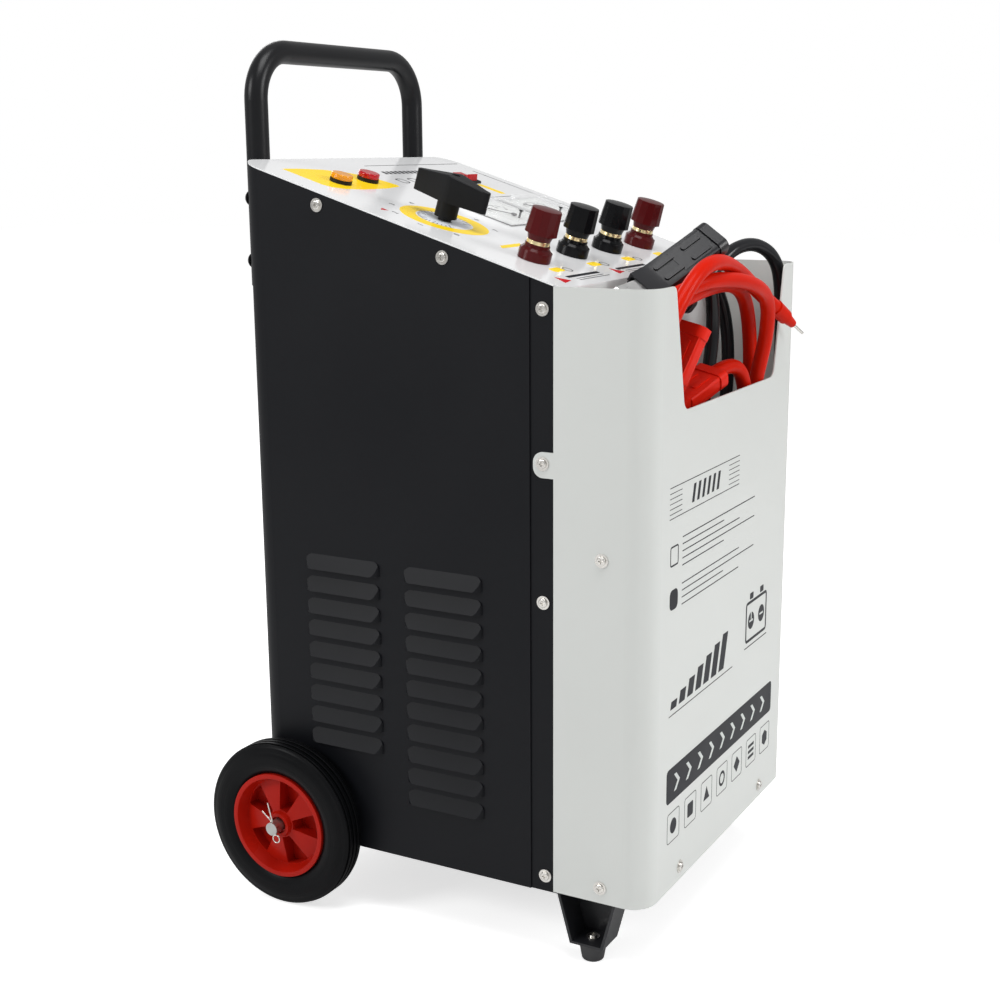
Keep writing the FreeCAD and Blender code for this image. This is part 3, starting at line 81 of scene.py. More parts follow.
def new_material(name):
    material = bpy.data.materials.new(name)
    material.use_nodes = True
    shader = material.node_tree.nodes["Principled BSDF"]
    return material, material.node_tree, shader


def calculate(tree, operation, *values):
    node = tree.nodes.new("ShaderNodeMath")
    node.operation = operation
    for socket, value in zip(node.inputs, values):
        if isinstance(value, bpy.types.NodeSocket):
            tree.links.new(value, socket)
        else:
            socket.default_value = value
    return node.outputs[0]


def seen_directly(tree):
    path = tree.nodes.new("ShaderNodeLightPath")
    seen = calculate(tree, "MULTIPLY", path.outputs["Is Glossy Ray"], GLOSS_SHARE)
    for ray in ("Is Camera Ray", "Is Transmission Ray"):
        seen = calculate(tree, "MAXIMUM", seen, path.outputs[ray])
    return seen


world = bpy.data.worlds.new("studio")
scene.world = world
world.use_nodes = True
tree = world.node_tree
surround = tree.nodes["Background"]
surround.inputs["Color"].default_value = (1.0, 1.0, 1.0, 1.0)
level = tree.nodes.new("ShaderNodeMapRange")
level.inputs["To Min"].default_value = AMBIENT
level.inputs["To Max"].default_value = 1.0
tree.links.new(seen_directly(tree), level.inputs["Value"])
tree.links.new(level.outputs["Result"], surround.inputs["Strength"])

shape = bmesh.new()
bmesh.ops.create_grid(shape, x_segments=1, y_segments=1, size=12.0)
bmesh.ops.translate(shape, verts=shape.verts, vec=(0, 0, -FLOOR_DROP))
floor = bpy.data.objects.new("studio_floor", bpy.data.meshes.new("studio_floor"))
shape.to_mesh(floor.data)
shape.free()
scene.collection.objects.link(floor)
material, tree, shader = new_material("studio_floor")
shader.inputs["Base Color"].default_value = (0.86, 0.86, 0.86, 1)
shader.inputs["Roughness"].default_value = 0.9
shader.inputs["Specular IOR Level"].default_value = 0.1
shader.inputs["Emission Color"].default_value = (1, 1, 1, 1)
glow = calculate(tree, "MULTIPLY", seen_directly(tree), FLOOR_GLOW)
tree.links.new(glow, shader.inputs["Emission Strength"])
floor.data.materials.append(material)

for name, spot, aim, size, watts in (
        ("top_softbox", (-0.5, -0.5, 2.5), (0, 0, 0.7), 1.1, 25.0),
        ("front_softbox", (0.5, -2.9, 1.7), (0, 0, 0.5), 1.2, 38.0),
        ("left_softbox", (-2.4, 1.5, 1.9), (0, 0, 0.5), 1.0, 32.0),
        ("back_softbox", (1.8, 2.4, 2.0), (0, 0, 0.5), 1.4, 20.0)):
    lamp = bpy.data.objects.new(name, bpy.data.lights.new(name, "AREA"))
    lamp.data.shape = "SQUARE"
    lamp.data.size = size
    lamp.data.energy = watts
    lamp.location = spot
    lamp.rotation_euler = (Vector(aim) - Vector(spot)).to_track_quat("-Z", "Y").to_euler()
    scene.collection.objects.link(lamp)

# The two clamp leads lie in loose loops in the tool bin. Each is a soft PVC
# jacket over fine copper, cut to length, with a clamp on one end and a moulded
# boot with a pin on the other. A route runs from clamp to boot, in millimetres.
RED_ACROSS = 0.0154
BLACK_ACROSS = 0.0143
red_route = [
    (8.7, -223.9, 567.5), (45.7, -234.7, 581.3), (74.7, -237.6, 538.0), (56.6, -237.6, 459.1),
    (-1.4, -236.1, 418.8), (-99.9, -231.4, 421.6), (-155.9, -208.6, 459.7), (-155.6, -200.7, 577.6),
    (-120.2, -217.0, 639.8), (-28.5, -231.6, 660.3), (68.4, -226.6, 654.6), (118.7, -220.8, 621.9),
    (132.9, -220.0, 545.0), (118.5, -219.0, 459.1), (59.4, -220.0, 419.4), (-80.3, -213.5, 414.7),
    (-168.2, -204.1, 439.6), (-194.1, -220.9, 530.2), (-175.7, -210.9, 638.5), (-91.9, -235.1, 662.6),
    (-56.0, -247.7, 669.4), (15.5, -259.1, 662.3), (72.6, -258.4, 642.1), (96.7, -249.3, 599.6),
    (102.0, -236.2, 549.4), (85.1, -229.4, 475.4), (23.0, -212.6, 438.7), (-70.5, -188.9, 416.9),
    (-164.8, -185.7, 430.8), (-181.9, -194.9, 539.9), (-154.1, -233.8, 614.6), (-109.8, -247.0, 674.1),
    (-61.2, -251.2, 688.9), (18.3, -243.9, 673.9), (78.7, -243.7, 647.0), (109.1, -253.0, 627.5)]
black_route = [
    (8.7, -187.2, 644.4), (53.1, -185.2, 637.4), (95.0, -200.0, 682.7), (139.4, -214.6, 694.0),
    (168.6, -231.6, 677.3), (183.4, -234.5, 637.1), (177.0, -238.4, 544.2), (167.3, -233.7, 448.8),
    (109.7, -215.9, 420.2), (16.2, -188.8, 412.4), (-49.8, -170.9, 472.9), (7.9, -169.8, 600.0),
    (75.0, -168.5, 660.0), (135.0, -170.0, 661.9), (164.9, -182.0, 600.0), (150.0, -186.0, 500.0),
    (108.8, -177.1, 413.3), (34.9, -182.7, 423.0), (29.6, -202.1, 509.1), (70.9, -202.0, 609.6),
    (50.0, -204.0, 648.0)]


def grain_group():
    group = bpy.data.node_groups.new("fine_grain", "ShaderNodeTree")
    face = group.interface
    face.new_socket("Size", in_out="INPUT", socket_type="NodeSocketFloat")
    face.new_socket("Patches", in_out="INPUT", socket_type="NodeSocketFloat")
    face.new_socket("Grain", in_out="OUTPUT", socket_type="NodeSocketFloat")
    face.new_socket("Patch", in_out="OUTPUT", socket_type="NodeSocketFloat")
    entry = group.nodes.new("NodeGroupInput")
    leaving = group.nodes.new("NodeGroupOutput")
    place = group.nodes.new("ShaderNodeTexCoord")
    for entry_name, exit_name, detail in (("Size", "Grain", 3.0), ("Patches", "Patch", 5.0)):
        noise = group.nodes.new("ShaderNodeTexNoise")
        noise.inputs["Detail"].default_value = detail
        group.links.new(place.outputs["Object"], noise.inputs["Vector"])
        group.links.new(entry.outputs[entry_name], noise.inputs["Scale"])
        group.links.new(noise.outputs["Fac"], leaving.inputs[exit_name])
    return group


fine_grain = grain_group()


def add_grain(tree, grain_scale, patch_scale):
    grain = tree.nodes.new("ShaderNodeGroup")
    grain.node_tree = fine_grain
    grain.inputs["Size"].default_value = grain_scale
    grain.inputs["Patches"].default_value = patch_scale
    return grain


def tint(tree, shader, driver, colour, other, low=0.35, high=0.65):
    ramp = tree.nodes.new("ShaderNodeValToRGB")
    ramp.color_ramp.elements[0].position = low
    ramp.color_ramp.elements[0].color = (*colour, 1)
    ramp.color_ramp.elements[1].position = high
    ramp.color_ramp.elements[1].color = (*other, 1)
    tree.links.new(driver, ramp.inputs["Fac"])
    tree.links.new(ramp.outputs["Color"], shader.inputs["Base Color"])


def vary_roughness(tree, shader, driver, low, high):
    spread = tree.nodes.new("ShaderNodeMapRange")
    spread.inputs["From Min"].default_value = 0.3
    spread.inputs["From Max"].default_value = 0.7
    spread.inputs["To Min"].default_value = low
    spread.inputs["To Max"].default_value = high
    tree.links.new(driver, spread.inputs["Value"])
    tree.links.new(spread.outputs["Result"], shader.inputs["Roughness"])


def raise_grain(tree, shader, driver, strength, depth):
    bump = tree.nodes.new("ShaderNodeBump")
    bump.inputs["Strength"].default_value = strength
    bump.inputs["Distance"].default_value = depth
    tree.links.new(driver, bump.inputs["Height"])
    tree.links.new(bump.outputs["Normal"], shader.inputs["Normal"])


def moulded_plastic(name, colour, worn, rough, grain_scale=900, depth=0.0001, strength=0.25,
                    specular=0.2, coat=0.0, coat_rough=0.03):
    material, tree, shader = new_material(name)
    shader.inputs["Specular IOR Level"].default_value = specular
    shader.inputs["Coat Weight"].default_value = coat
    shader.inputs["Coat Roughness"].default_value = coat_rough
    grain = add_grain(tree, grain_scale, 14)
    tint(tree, shader, grain.outputs["Patch"], colour, worn)
    vary_roughness(tree, shader, grain.outputs["Patch"], *rough)
    raise_grain(tree, shader, grain.outputs["Grain"], strength, depth)
    return material


def jacket(name, colour, dusty, coat, coat_rough):
    return moulded_plastic(name, colour, dusty, (0.3, 0.42), grain_scale=700, depth=0.0002,
                           strength=0.2, specular=0.05, coat=coat, coat_rough=coat_rough)


def in_metres(point):
    return [c / 1000 for c in point]


def soft_cable(name, route, diameter, material):
    curve = bpy.data.curves.new(name, "CURVE")
    curve.dimensions = "3D"
    line = curve.splines.new("NURBS")
    line.points.add(len(route) - 1)
    for place, point in zip(line.points, route):
        place.co = (*in_metres(point), 1.0)
    line.order_u = 3
    line.use_endpoint_u = True
    line.resolution_u = 12
    curve.bevel_depth = diameter / 2
    curve.bevel_resolution = 8
    curve.use_fill_caps = True
    curve.materials.append(material)
    cable = bpy.data.objects.new(name, curve)
    scene.collection.objects.link(cable)
    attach(cable, "case")
    return cable


red_pvc = jacket("red_lead_jacket", (0.61, 0.012, 0.0015), (0.55, 0.0105, 0.0013), 0.06, 0.14)
black_pvc = jacket("black_lead_jacket", (0.006, 0.0065, 0.008), (0.009, 0.0095, 0.0115), 0.5, 0.12)
red_cable = soft_cable("red_lead_cable", red_route, RED_ACROSS, red_pvc)
black_cable = soft_cable("black_lead_cable", black_route, BLACK_ACROSS, black_pvc)
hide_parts("red_lead")
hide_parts("black_lead")

# The clamps at the ends of the leads: two moulded handles, one nested in the
# other, on plated spring-steel jaws, with one pivot pin and a coil spring. A
# moulded piece is a copy of its solid, welded and with its edges rounded.
WELD = 0.000004
FLAT_WITHIN = math.radians(0.6)
node_body = {node: body for body, names in frame["record"]["behaviour"]["bodies"].items()
             for node in names}


def softened(node_name, edge, material, segments=2, sharp=32):
    shape = bmesh.new()
    shape.from_mesh(nodes[node_name].data)
    bmesh.ops.remove_doubles(shape, verts=shape.verts, dist=WELD)
    bmesh.ops.dissolve_limit(shape, angle_limit=FLAT_WITHIN, verts=shape.verts, edges=shape.edges)
    for face in shape.faces:
        face.smooth = True
    mesh = bpy.data.meshes.new(node_name + "_finished")
    shape.to_mesh(mesh)
    shape.free()
    mesh.materials.append(material)
    piece = bpy.data.objects.new(node_name + "_finished", mesh)
    scene.collection.objects.link(piece)
    rounding = piece.modifiers.new("rounded_edges", "BEVEL")
    rounding.width = edge
    rounding.segments = segments
    rounding.limit_method = "ANGLE"
    rounding.angle_limit = math.radians(sharp)
    shading = piece.modifiers.new("flat_faces_stay_flat", "WEIGHTED_NORMAL")
    shading.mode = "FACE_AREA"
    shading.weight = 90
    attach(piece, node_body[node_name])
    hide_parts(node_name)


def painted(names, material):
    for name in names:
        node = nodes[name]
        node.data.materials.clear()
        node.data.materials.append(material)


def plated_metal(name, colour, dull, rough, scratch_scale=160):
    material, tree, shader = new_material(name)
    shader.inputs["Metallic"].default_value = 1.0
    grain = add_grain(tree, scratch_scale, 30)
    tint(tree, shader, grain.outputs["Patch"], colour, dull, low=0.3, high=0.75)
    vary_roughness(tree, shader, grain.outputs["Grain"], *rough)
    raise_grain(tree, shader, grain.outputs["Grain"], 0.15, 0.0001)
    return material


nickel = plated_metal("bright_nickel", (0.78, 0.76, 0.72), (0.62, 0.60, 0.57), (0.18, 0.34))
zinc = plated_metal("zinc_plated_steel", (0.84, 0.84, 0.83), (0.72, 0.72, 0.71), (0.25, 0.45))
red_grip = moulded_plastic("red_clamp_grip", (0.8, 0.019, 0.006), (0.73, 0.016, 0.0055),
                           (0.32, 0.44), grain_scale=500, depth=0.0002, strength=0.3,
                           specular=0.12)
black_grip = moulded_plastic("black_clamp_grip", (0.0075, 0.008, 0.0105), (0.0105, 0.011, 0.0135),
                             (0.3, 0.42), grain_scale=500, depth=0.0002, strength=0.35,
                             specular=0.42)
for colour, plastic in (("red", red_grip), ("black", black_grip)):
    for part_name in ("_clamp_grip_fixed", "_clamp_grip_moving"):
        softened(colour + part_name, 0.0006, plastic)
    painted([colour + "_clamp_jaw_fixed", colour + "_clamp_jaw_moving"], zinc)
painted(["lead_boot_red"], red_pvc)
painted(["lead_boot_black"], black_pvc)
painted(["clamp_pins_and_springs", "lead_pins"], nickel)


# The sheet steel case. One wrap makes both sides and the back, with louvres
# pressed out of it, and it stands on a base pan. Both have a fine black powder
# coat, and so do the folded brackets of the front feet. The brackets' copy of the
# coat is painted lighter, as painted fill light in the shade under the case.
def powder_coat(name, colour, patch_colour, rough, peel_scale, strength, specular=0.4, coat=0.0):
    material, tree, shader = new_material(name)
    grain = add_grain(tree, peel_scale, 5)
    tint(tree, shader, grain.outputs["Patch"], colour, patch_colour)
    vary_roughness(tree, shader, grain.outputs["Patch"], *rough)
    raise_grain(tree, shader, grain.outputs["Grain"], strength, 0.0002)
    shader.inputs["Specular IOR Level"].default_value = specular
    shader.inputs["Coat Weight"].default_value = coat
    shader.inputs["Coat Roughness"].default_value = 0.12
    return material


black_coat = powder_coat("black_powder_coat", (0.0056, 0.0061, 0.0080), (0.0070, 0.0075, 0.0094),
                         (0.42, 0.5), peel_scale=1300, strength=0.3, specular=0.15)
# The bracket coat is the black coat painted lighter: painted fill light for the shade under the case.
bracket_coat_with_painted_fill = powder_coat("bracket_powder_coat_painted_fill", (0.013, 0.0135, 0.016), (0.016, 0.0165, 0.019),
                           (0.35, 0.45), peel_scale=1300, strength=0.3)
painted(["casing_wrap", "base_pan"], black_coat)
painted(["foot_brackets"], bracket_coat_with_painted_fill)

# The tool bin: a light front cover with a notch, screwed to the case, an inner
# wall and a low tray. Satin off-white powder coat on thin sheet. The cover's coat
# is painted greyer than that white, as painted shade on its upright front face.
# The cover colour is the off-white coat with painted shade: greyer than the white panel film.
cover_coat_with_painted_shade = powder_coat("cover_powder_coat_painted_shade", (0.655, 0.672, 0.65), (0.67, 0.687, 0.665),
                         (0.28, 0.36), peel_scale=900, strength=0.08, specular=0.36, coat=0.18)
inner_coat = powder_coat("inner_powder_coat", (0.68, 0.69, 0.685), (0.7, 0.71, 0.705),
                         (0.35, 0.45), peel_scale=900, strength=0.1)
painted(["front_cover"], cover_coat_with_painted_shade)
painted(["inner_wall", "bin_floor"], inner_coat)

# Printed marks on the cover are screen ink, and lie a tenth of a millimetre
# proud. Each is cut from a flat sheet, laid down in its place and thickened.
# A print's own frame is in millimetres, with X to the right and Y up the face.
MM = 0.001
INK_PROUD = 0.1
INK_WELD = 0.0005
cover_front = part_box("front_cover")[0].y
COVER_FACE = Matrix(((MM, 0, 0, 0), (0, 0, -MM, cover_front), (0, MM, 0, 0), (0, 0, 0, 1)))
banner_x, banner_z = -65.0, 468.0
lines_left, badge_x = -124.0, -144.0
stairs_x, stairs_z = -139.0, 262.0
battery_x, battery_z = 92.0, 292.0
terminals_x = (battery_x - 16, battery_x + 16)
band_x, band_z = -2.0, 183.0
symbols_x = [-135.0 + 44.5 * place for place in range(7)]
symbols_z = 138.0
CHEVRON = [(-9, -9), (0, 0), (-9, 9), (-3, 9), (6, 0), (-3, -9)]


def cut_rectangle(width, height, corner=0.0, lean=0.0):
    shape = bmesh.new()
    bmesh.ops.create_grid(shape, x_segments=1, y_segments=1, size=0.5)
    shear = Matrix(((width, lean, 0, 0), (0, height, 0, 0), (0, 0, 1, 0), (0, 0, 0, 1)))
    bmesh.ops.transform(shape, matrix=shear, verts=shape.verts)
    if corner:
        bmesh.ops.bevel(shape, geom=shape.verts[:], offset=corner, segments=4, profile=0.5,
                        affect="VERTICES", material=-1)
    return shape


def cut_disc(radius, sides=40):
    shape = bmesh.new()
    bmesh.ops.create_circle(shape, cap_ends=True, segments=sides, radius=radius)
    return shape


def cut_outline(points):
    shape = bmesh.new()
    shape.faces.new([shape.verts.new((x, y, 0)) for x, y in points])
    return shape


def only_rim(shape, width):
    inner = shape.faces[:]
    bmesh.ops.inset_region(shape, faces=inner, thickness=width, use_boundary=True,
                           use_even_offset=True)
    bmesh.ops.delete(shape, geom=inner, context="FACES")
    return shape


def lay_down(sheet, shape, x, y, degrees=0.0):
    place = Matrix.Translation((x, y, 0)) @ Matrix.Rotation(math.radians(degrees), 4, "Z")
    bmesh.ops.transform(shape, matrix=place, verts=shape.verts)
    patch = bpy.data.meshes.new("patch")
    shape.to_mesh(patch)
    shape.free()
    sheet.from_mesh(patch)
    bpy.data.meshes.remove(patch)


def thickened(sheet, name, plane, thickness, material):
    bmesh.ops.remove_doubles(sheet, verts=sheet.verts, dist=INK_WELD)
    raised = bmesh.ops.extrude_face_region(sheet, geom=sheet.faces[:])
    top = [item for item in raised["geom"] if isinstance(item, bmesh.types.BMVert)]
    bmesh.ops.translate(sheet, verts=top, vec=(0, 0, thickness))
    bmesh.ops.recalc_face_normals(sheet, faces=sheet.faces)
    bmesh.ops.transform(sheet, matrix=plane, verts=sheet.verts)
    mesh = bpy.data.meshes.new(name)
    sheet.to_mesh(mesh)
    sheet.free()
    mesh.materials.append(material)
    piece = bpy.data.objects.new(name, mesh)
    scene.collection.objects.link(piece)
    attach(piece, "case")


def ink(name, colour, thin, rough=(0.3, 0.42)):
    return moulded_plastic(name, colour, thin, rough, grain_scale=1500, depth=0.00005,
                           strength=0.1, specular=0.08)


dark_ink = ink("dark_screen_ink", (0.014, 0.0148, 0.019), (0.018, 0.0188, 0.023))
pale_ink = ink("pale_screen_ink", (0.66, 0.69, 0.67), (0.6, 0.63, 0.61))

sheet = bmesh.new()
for z in (banner_z - 15, banner_z + 15):
    lay_down(sheet, cut_rectangle(184, 0.8), banner_x, z)
for row in range(5):
    for x in (banner_x - 77, banner_x + 77):
        lay_down(sheet, cut_rectangle(30, 0.7), x, banner_z - 10.5 + row * 5)
for bar in range(6):
    lay_down(sheet, cut_rectangle(6, 18, lean=5), banner_x - 32 + bar * 13, banner_z)
for top_line_z, rows in ((430, 5), (384, 4)):
    for row in range(rows):
        width = 110 + 45 * ((row + rows) % 3)
        lay_down(sheet, cut_rectangle(width, 1.1), lines_left + width / 2, top_line_z - 7 * row)
lay_down(sheet, only_rim(cut_rectangle(20, 20, 3), 1.6), badge_x, 416)
lay_down(sheet, cut_rectangle(20, 20, 6), badge_x, 373)
for step in range(7):
    tall = 8 + 5 * step
    lay_down(sheet, cut_rectangle(15, tall, lean=0.3 * tall), stairs_x + step * 22,
             stairs_z + tall / 2)
lay_down(sheet, cut_rectangle(172, 1.0), banner_x, stairs_z - 6)
lay_down(sheet, only_rim(cut_rectangle(66, 46, 5), 3.2), battery_x, battery_z)
for x in terminals_x:
    lay_down(sheet, cut_rectangle(11, 7, 1.5), x, battery_z + 28)
    lay_down(sheet, cut_disc(9.5), x, battery_z)
lay_down(sheet, cut_rectangle(70, 1.2), battery_x, battery_z - 28)
lay_down(sheet, cut_rectangle(304, 36, 5), band_x, band_z)
for x in symbols_x:
    lay_down(sheet, only_rim(cut_rectangle(31, 32, 3.5), 0.8), x, symbols_z)
lay_down(sheet, cut_disc(8), symbols_x[0], symbols_z)
lay_down(sheet, cut_rectangle(15, 15, 2), symbols_x[1], symbols_z)
lay_down(sheet, cut_disc(9.5, sides=3), symbols_x[2], symbols_z - 1.5)
lay_down(sheet, only_rim(cut_disc(8.5), 3), symbols_x[3], symbols_z)
lay_down(sheet, cut_rectangle(13, 13, 1), symbols_x[4], symbols_z, degrees=45)
for row in range(3):
    lay_down(sheet, cut_rectangle(18, 3.4), symbols_x[5], symbols_z - 6.5 + row * 6.5)
lay_down(sheet, cut_disc(9, sides=6), symbols_x[6], symbols_z)
thickened(sheet, "cover_dark_print", COVER_FACE, INK_PROUD, dark_ink)

sheet = bmesh.new()
for mark in range(9):
    lay_down(sheet, cut_outline(CHEVRON), band_x - 124 + mark * 31, band_z)
for x in terminals_x:
    lay_down(sheet, cut_rectangle(11, 2.2), x, battery_z)
lay_down(sheet, cut_rectangle(2.2, 11), terminals_x[0], battery_z + 5.6)
thickened(sheet, "cover_pale_print", COVER_FACE @ Matrix.Translation((0, 0, INK_PROUD)),
          INK_PROUD / 2, pale_ink)

# The sloped control panel is one white sheet under a glossy printed film, with
# yellow and red fields, a ring for the selector and generic scale numbers. Its
# frame starts at the front edge of the slope, with Y up the slope.
SLOPE = math.radians(17.55)
SHEET_TOP = 1.5
DIAL_START = 225.0
DIAL_SWEEP = 269.5
panel_edge = (0, -0.1489, 0.670)
PANEL = Matrix.Translation(panel_edge) @ Matrix.Rotation(SLOPE, 4, "X") @ Matrix.Scale(MM, 4)
PANEL_FACE = PANEL @ Matrix.Translation((0, 0, SHEET_TOP))
pivots = {joint["name"]: Vector(joint["pos_m"]) for joint in frame["joints"] if "pos_m" in joint}


def place_on_panel(joint_name):
    return (PANEL.inverted() @ pivots[joint_name])[:2]


def polar(x, u, reach, degrees):
    return (x + reach * math.cos(math.radians(degrees)),
            u + reach * math.sin(math.radians(degrees)))


def lay_digits(sheet, text, size, x, y):
    letters = bpy.data.curves.new("digits", "FONT")
    letters.body = text
    letters.size = size
    letters.align_x = "CENTER"
    letters.align_y = "CENTER"
    holder = bpy.data.objects.new("digits", letters)
    scene.collection.objects.link(holder)
    bpy.context.view_layer.update()
    graph = bpy.context.evaluated_depsgraph_get()
    flat = bpy.data.meshes.new_from_object(holder.evaluated_get(graph))
    bpy.data.objects.remove(holder)
    shape = bmesh.new()
    shape.from_mesh(flat)
    bpy.data.meshes.remove(flat)
    lay_down(sheet, shape, x, y)


white_film = powder_coat("white_panel_film", (0.9, 0.905, 0.915), (0.88, 0.885, 0.895),
                         (0.14, 0.2), peel_scale=500, strength=0.03, specular=0.5, coat=0.5)
painted(["top_panel"], white_film)
yellow_ink = ink("yellow_film_print", (0.95, 0.67, 0.015), (0.91, 0.63, 0.013), (0.2, 0.3))
red_ink = ink("red_film_print", (0.55, 0.02, 0.03), (0.48, 0.015, 0.02), (0.2, 0.3))
grey_ink = ink("grey_film_print", (0.68, 0.71, 0.76), (0.74, 0.77, 0.81), (0.2, 0.3))
knob_x, knob_u = place_on_panel("selector_turn")
posts_x = [place_on_panel(f"cap_{number}_turn")[0] for number in range(1, 5)]
LAMP_FIELD = [(-166, 342), (-166, 290), (-160, 281), (-148, 275), (-120, 271), (-75, 271),
              (-46, 275), (-44, 279), (-47, 292), (-56, 309), (-75, 325), (-105, 336), (-140, 341)]
SLANTED_ARROW = [(-4, 14), (9, 2), (-9, -1)]
POINTER = [(-4, 0), (4, 4), (4, -4)]

sheet = bmesh.new()
lay_down(sheet, cut_outline(LAMP_FIELD), 0, 0)
lay_down(sheet, only_rim(cut_disc(46, sides=72), 16.4), knob_x, knob_u)
for x in posts_x:
    lay_down(sheet, cut_rectangle(22, 10, 4), x - 5, 29)
lay_down(sheet, cut_rectangle(40, 7, lean=8), -116, 94.5)
lay_down(sheet, cut_rectangle(11, 34, 2), 117, 254)
thickened(sheet, "panel_yellow_print", PANEL_FACE, INK_PROUD, yellow_ink)

sheet = bmesh.new()
for x in (-168, -48):
    lay_down(sheet, cut_outline(SLANTED_ARROW), x, 1)
lay_down(sheet, cut_outline(POINTER), -170, 213)
thickened(sheet, "panel_red_print", PANEL_FACE, INK_PROUD, red_ink)

sheet = bmesh.new()
lay_down(sheet, cut_disc(26, sides=48), knob_x, knob_u)
thickened(sheet, "panel_grey_print", PANEL_FACE, INK_PROUD, grey_ink)

sheet = bmesh.new()
for x in (-119, -8):
    lay_down(sheet, cut_rectangle(68, 4.5), x, 11)
    lay_down(sheet, cut_rectangle(58, 0.9), x + 4, 5)
    lay_down(sheet, cut_rectangle(66, 0.9), x + 8, 1.5)
for x in posts_x:
    lay_down(sheet, only_rim(cut_disc(5.5), 0.9), x + 12, 26)
for number in range(8):
    degrees = DIAL_START - DIAL_SWEEP / 7 * number
    lay_digits(sheet, str(number), 9, *polar(knob_x, knob_u, 55, degrees))
for tick in range(29):
    degrees = DIAL_START - DIAL_SWEEP / 28 * tick
    length, reach = (3.5, 26.5) if tick % 4 else (8.5, 24.0)
    lay_down(sheet, cut_rectangle(length, 0.9), *polar(knob_x, knob_u, reach, degrees), degrees)
for block in range(9):
    lay_down(sheet, cut_rectangle(5, 9, lean=1.5), -8 + 8.5 * block, 320)
for x in (-14, 10):
    lay_down(sheet, only_rim(cut_rectangle(14, 15, 4), 1.2), x, 292)
for width, x, u in ((200, 88, 345), (120, 60, 228)):
    lay_down(sheet, cut_rectangle(width, 0.8), x, u)
lay_down(sheet, cut_rectangle(1.0, 140), 181, 248)
thickened(sheet, "panel_dark_print", PANEL_FACE @ Matrix.Translation((0, 0, INK_PROUD * 1.2)),
          INK_PROUD / 2, dark_ink)

# Pan-head screws with a cross recess hold the sheets together. They are
# nickel-plated steel, and all of one pattern.
painted(["case_screws"], nickel)

# The mains entry at the back is a moulded gland. The rubber feet are moulded
# too, and are screwed under the folded brackets. Their black rubber is painted a
# lighter grey, as painted fill light in the shade under the case.
black_moulding = moulded_plastic("black_moulding", (0.009, 0.009, 0.01), (0.013, 0.013, 0.014),
                                 (0.4, 0.55))
# The feet's colour is black rubber painted lighter: painted fill light for the shade under the case.
black_rubber_with_painted_fill = moulded_plastic("black_rubber_with_painted_fill", (0.018, 0.018, 0.02), (0.024, 0.024, 0.026),
                               (0.3, 0.42), grain_scale=600, depth=0.0002, strength=0.4,
                               specular=0.5)
softened("mains_gland", 0.0006, black_moulding)
softened("foot_pads", 0.001, black_rubber_with_painted_fill)

# Two wheels turn on one plated axle through the base, each held by a washer
# and a split pin. The hubs are moulded in red plastic with five spokes, and
# the solid tyres are ribbed rubber with fine rings on their sides.
RING_RADIANS_PER_METRE = 2200
RING_HEIGHT = 0.35
red_hub = moulded_plastic("red_hub_plastic", (0.42, 0.009, 0.003), (0.38, 0.008, 0.0027),
                          (0.25, 0.36), grain_scale=500, strength=0.1, specular=0.14)
axle_steel = plated_metal("dull_axle_steel", (0.5, 0.5, 0.49), (0.42, 0.42, 0.41), (0.3, 0.5))


def tyre_rubber():
    material, tree, shader = new_material("tyre_rubber")
    grain = add_grain(tree, 500, 18)
    shader.inputs["Specular IOR Level"].default_value = 0.1
    tint(tree, shader, grain.outputs["Patch"], (0.0024, 0.0026, 0.0032), (0.0036, 0.0038, 0.0046))
    vary_roughness(tree, shader, grain.outputs["Patch"], 0.34, 0.46)
    place = tree.nodes.new("ShaderNodeTexCoord")
    centre = tree.nodes.new("ShaderNodeMapping")
    axle_line = pivots["wheel_left_spin"]
    centre.inputs["Location"].default_value = (0, -axle_line.y, -axle_line.z)
    centre.inputs["Scale"].default_value = (0, 1, 1)
    radius = tree.nodes.new("ShaderNodeVectorMath")
    radius.operation = "LENGTH"
    tree.links.new(place.outputs["Object"], centre.inputs["Vector"])
    tree.links.new(centre.outputs["Vector"], radius.inputs[0])
    turns = calculate(tree, "MULTIPLY", radius.outputs["Value"], RING_RADIANS_PER_METRE)
    wave = calculate(tree, "SINE", turns)
    relief = calculate(tree, "MULTIPLY_ADD", wave, RING_HEIGHT, grain.outputs["Grain"])
    raise_grain(tree, shader, relief, 0.3, 0.0002)
    return material


rubber_tyre = tyre_rubber()
for side in ("left", "right"):
    softened("wheel_hub_" + side, 0.0008, red_hub)
    softened("wheel_tyre_" + side, 0.0005, rubber_tyre)
painted(["axle"], axle_steel)
painted(["axle_retainers"], nickel)

# The handle is one bent steel tube on the back, coated satin black after
# bending. Dome bolts with a black finish hold both legs.
handle_coat = powder_coat("handle_powder_coat", (0.0055, 0.0058, 0.007), (0.0075, 0.0078, 0.009),
                          (0.26, 0.34), peel_scale=900, strength=0.1, specular=0.23)
black_steel = powder_coat("black_bolt_finish", (0.02, 0.02, 0.022), (0.03, 0.03, 0.032),
                          (0.35, 0.5), peel_scale=1200, strength=0.15)
painted(["handle_tube"], handle_coat)
painted(["handle_bolts"], black_steel)

# The selector is a moulded T-bar knob on a plated shaft, which turns the
# rotary switch under the panel.
knob_plastic = moulded_plastic("knob_plastic", (0.0075, 0.008, 0.0092), (0.0105, 0.011, 0.0122),
                               (0.42, 0.55), grain_scale=700, depth=0.0002, strength=0.3,
                               specular=0.14)
softened("selector_knob", 0.0009, knob_plastic, segments=3)
painted(["selector_shaft"], zinc)
painted(["selector_switch"], black_moulding)


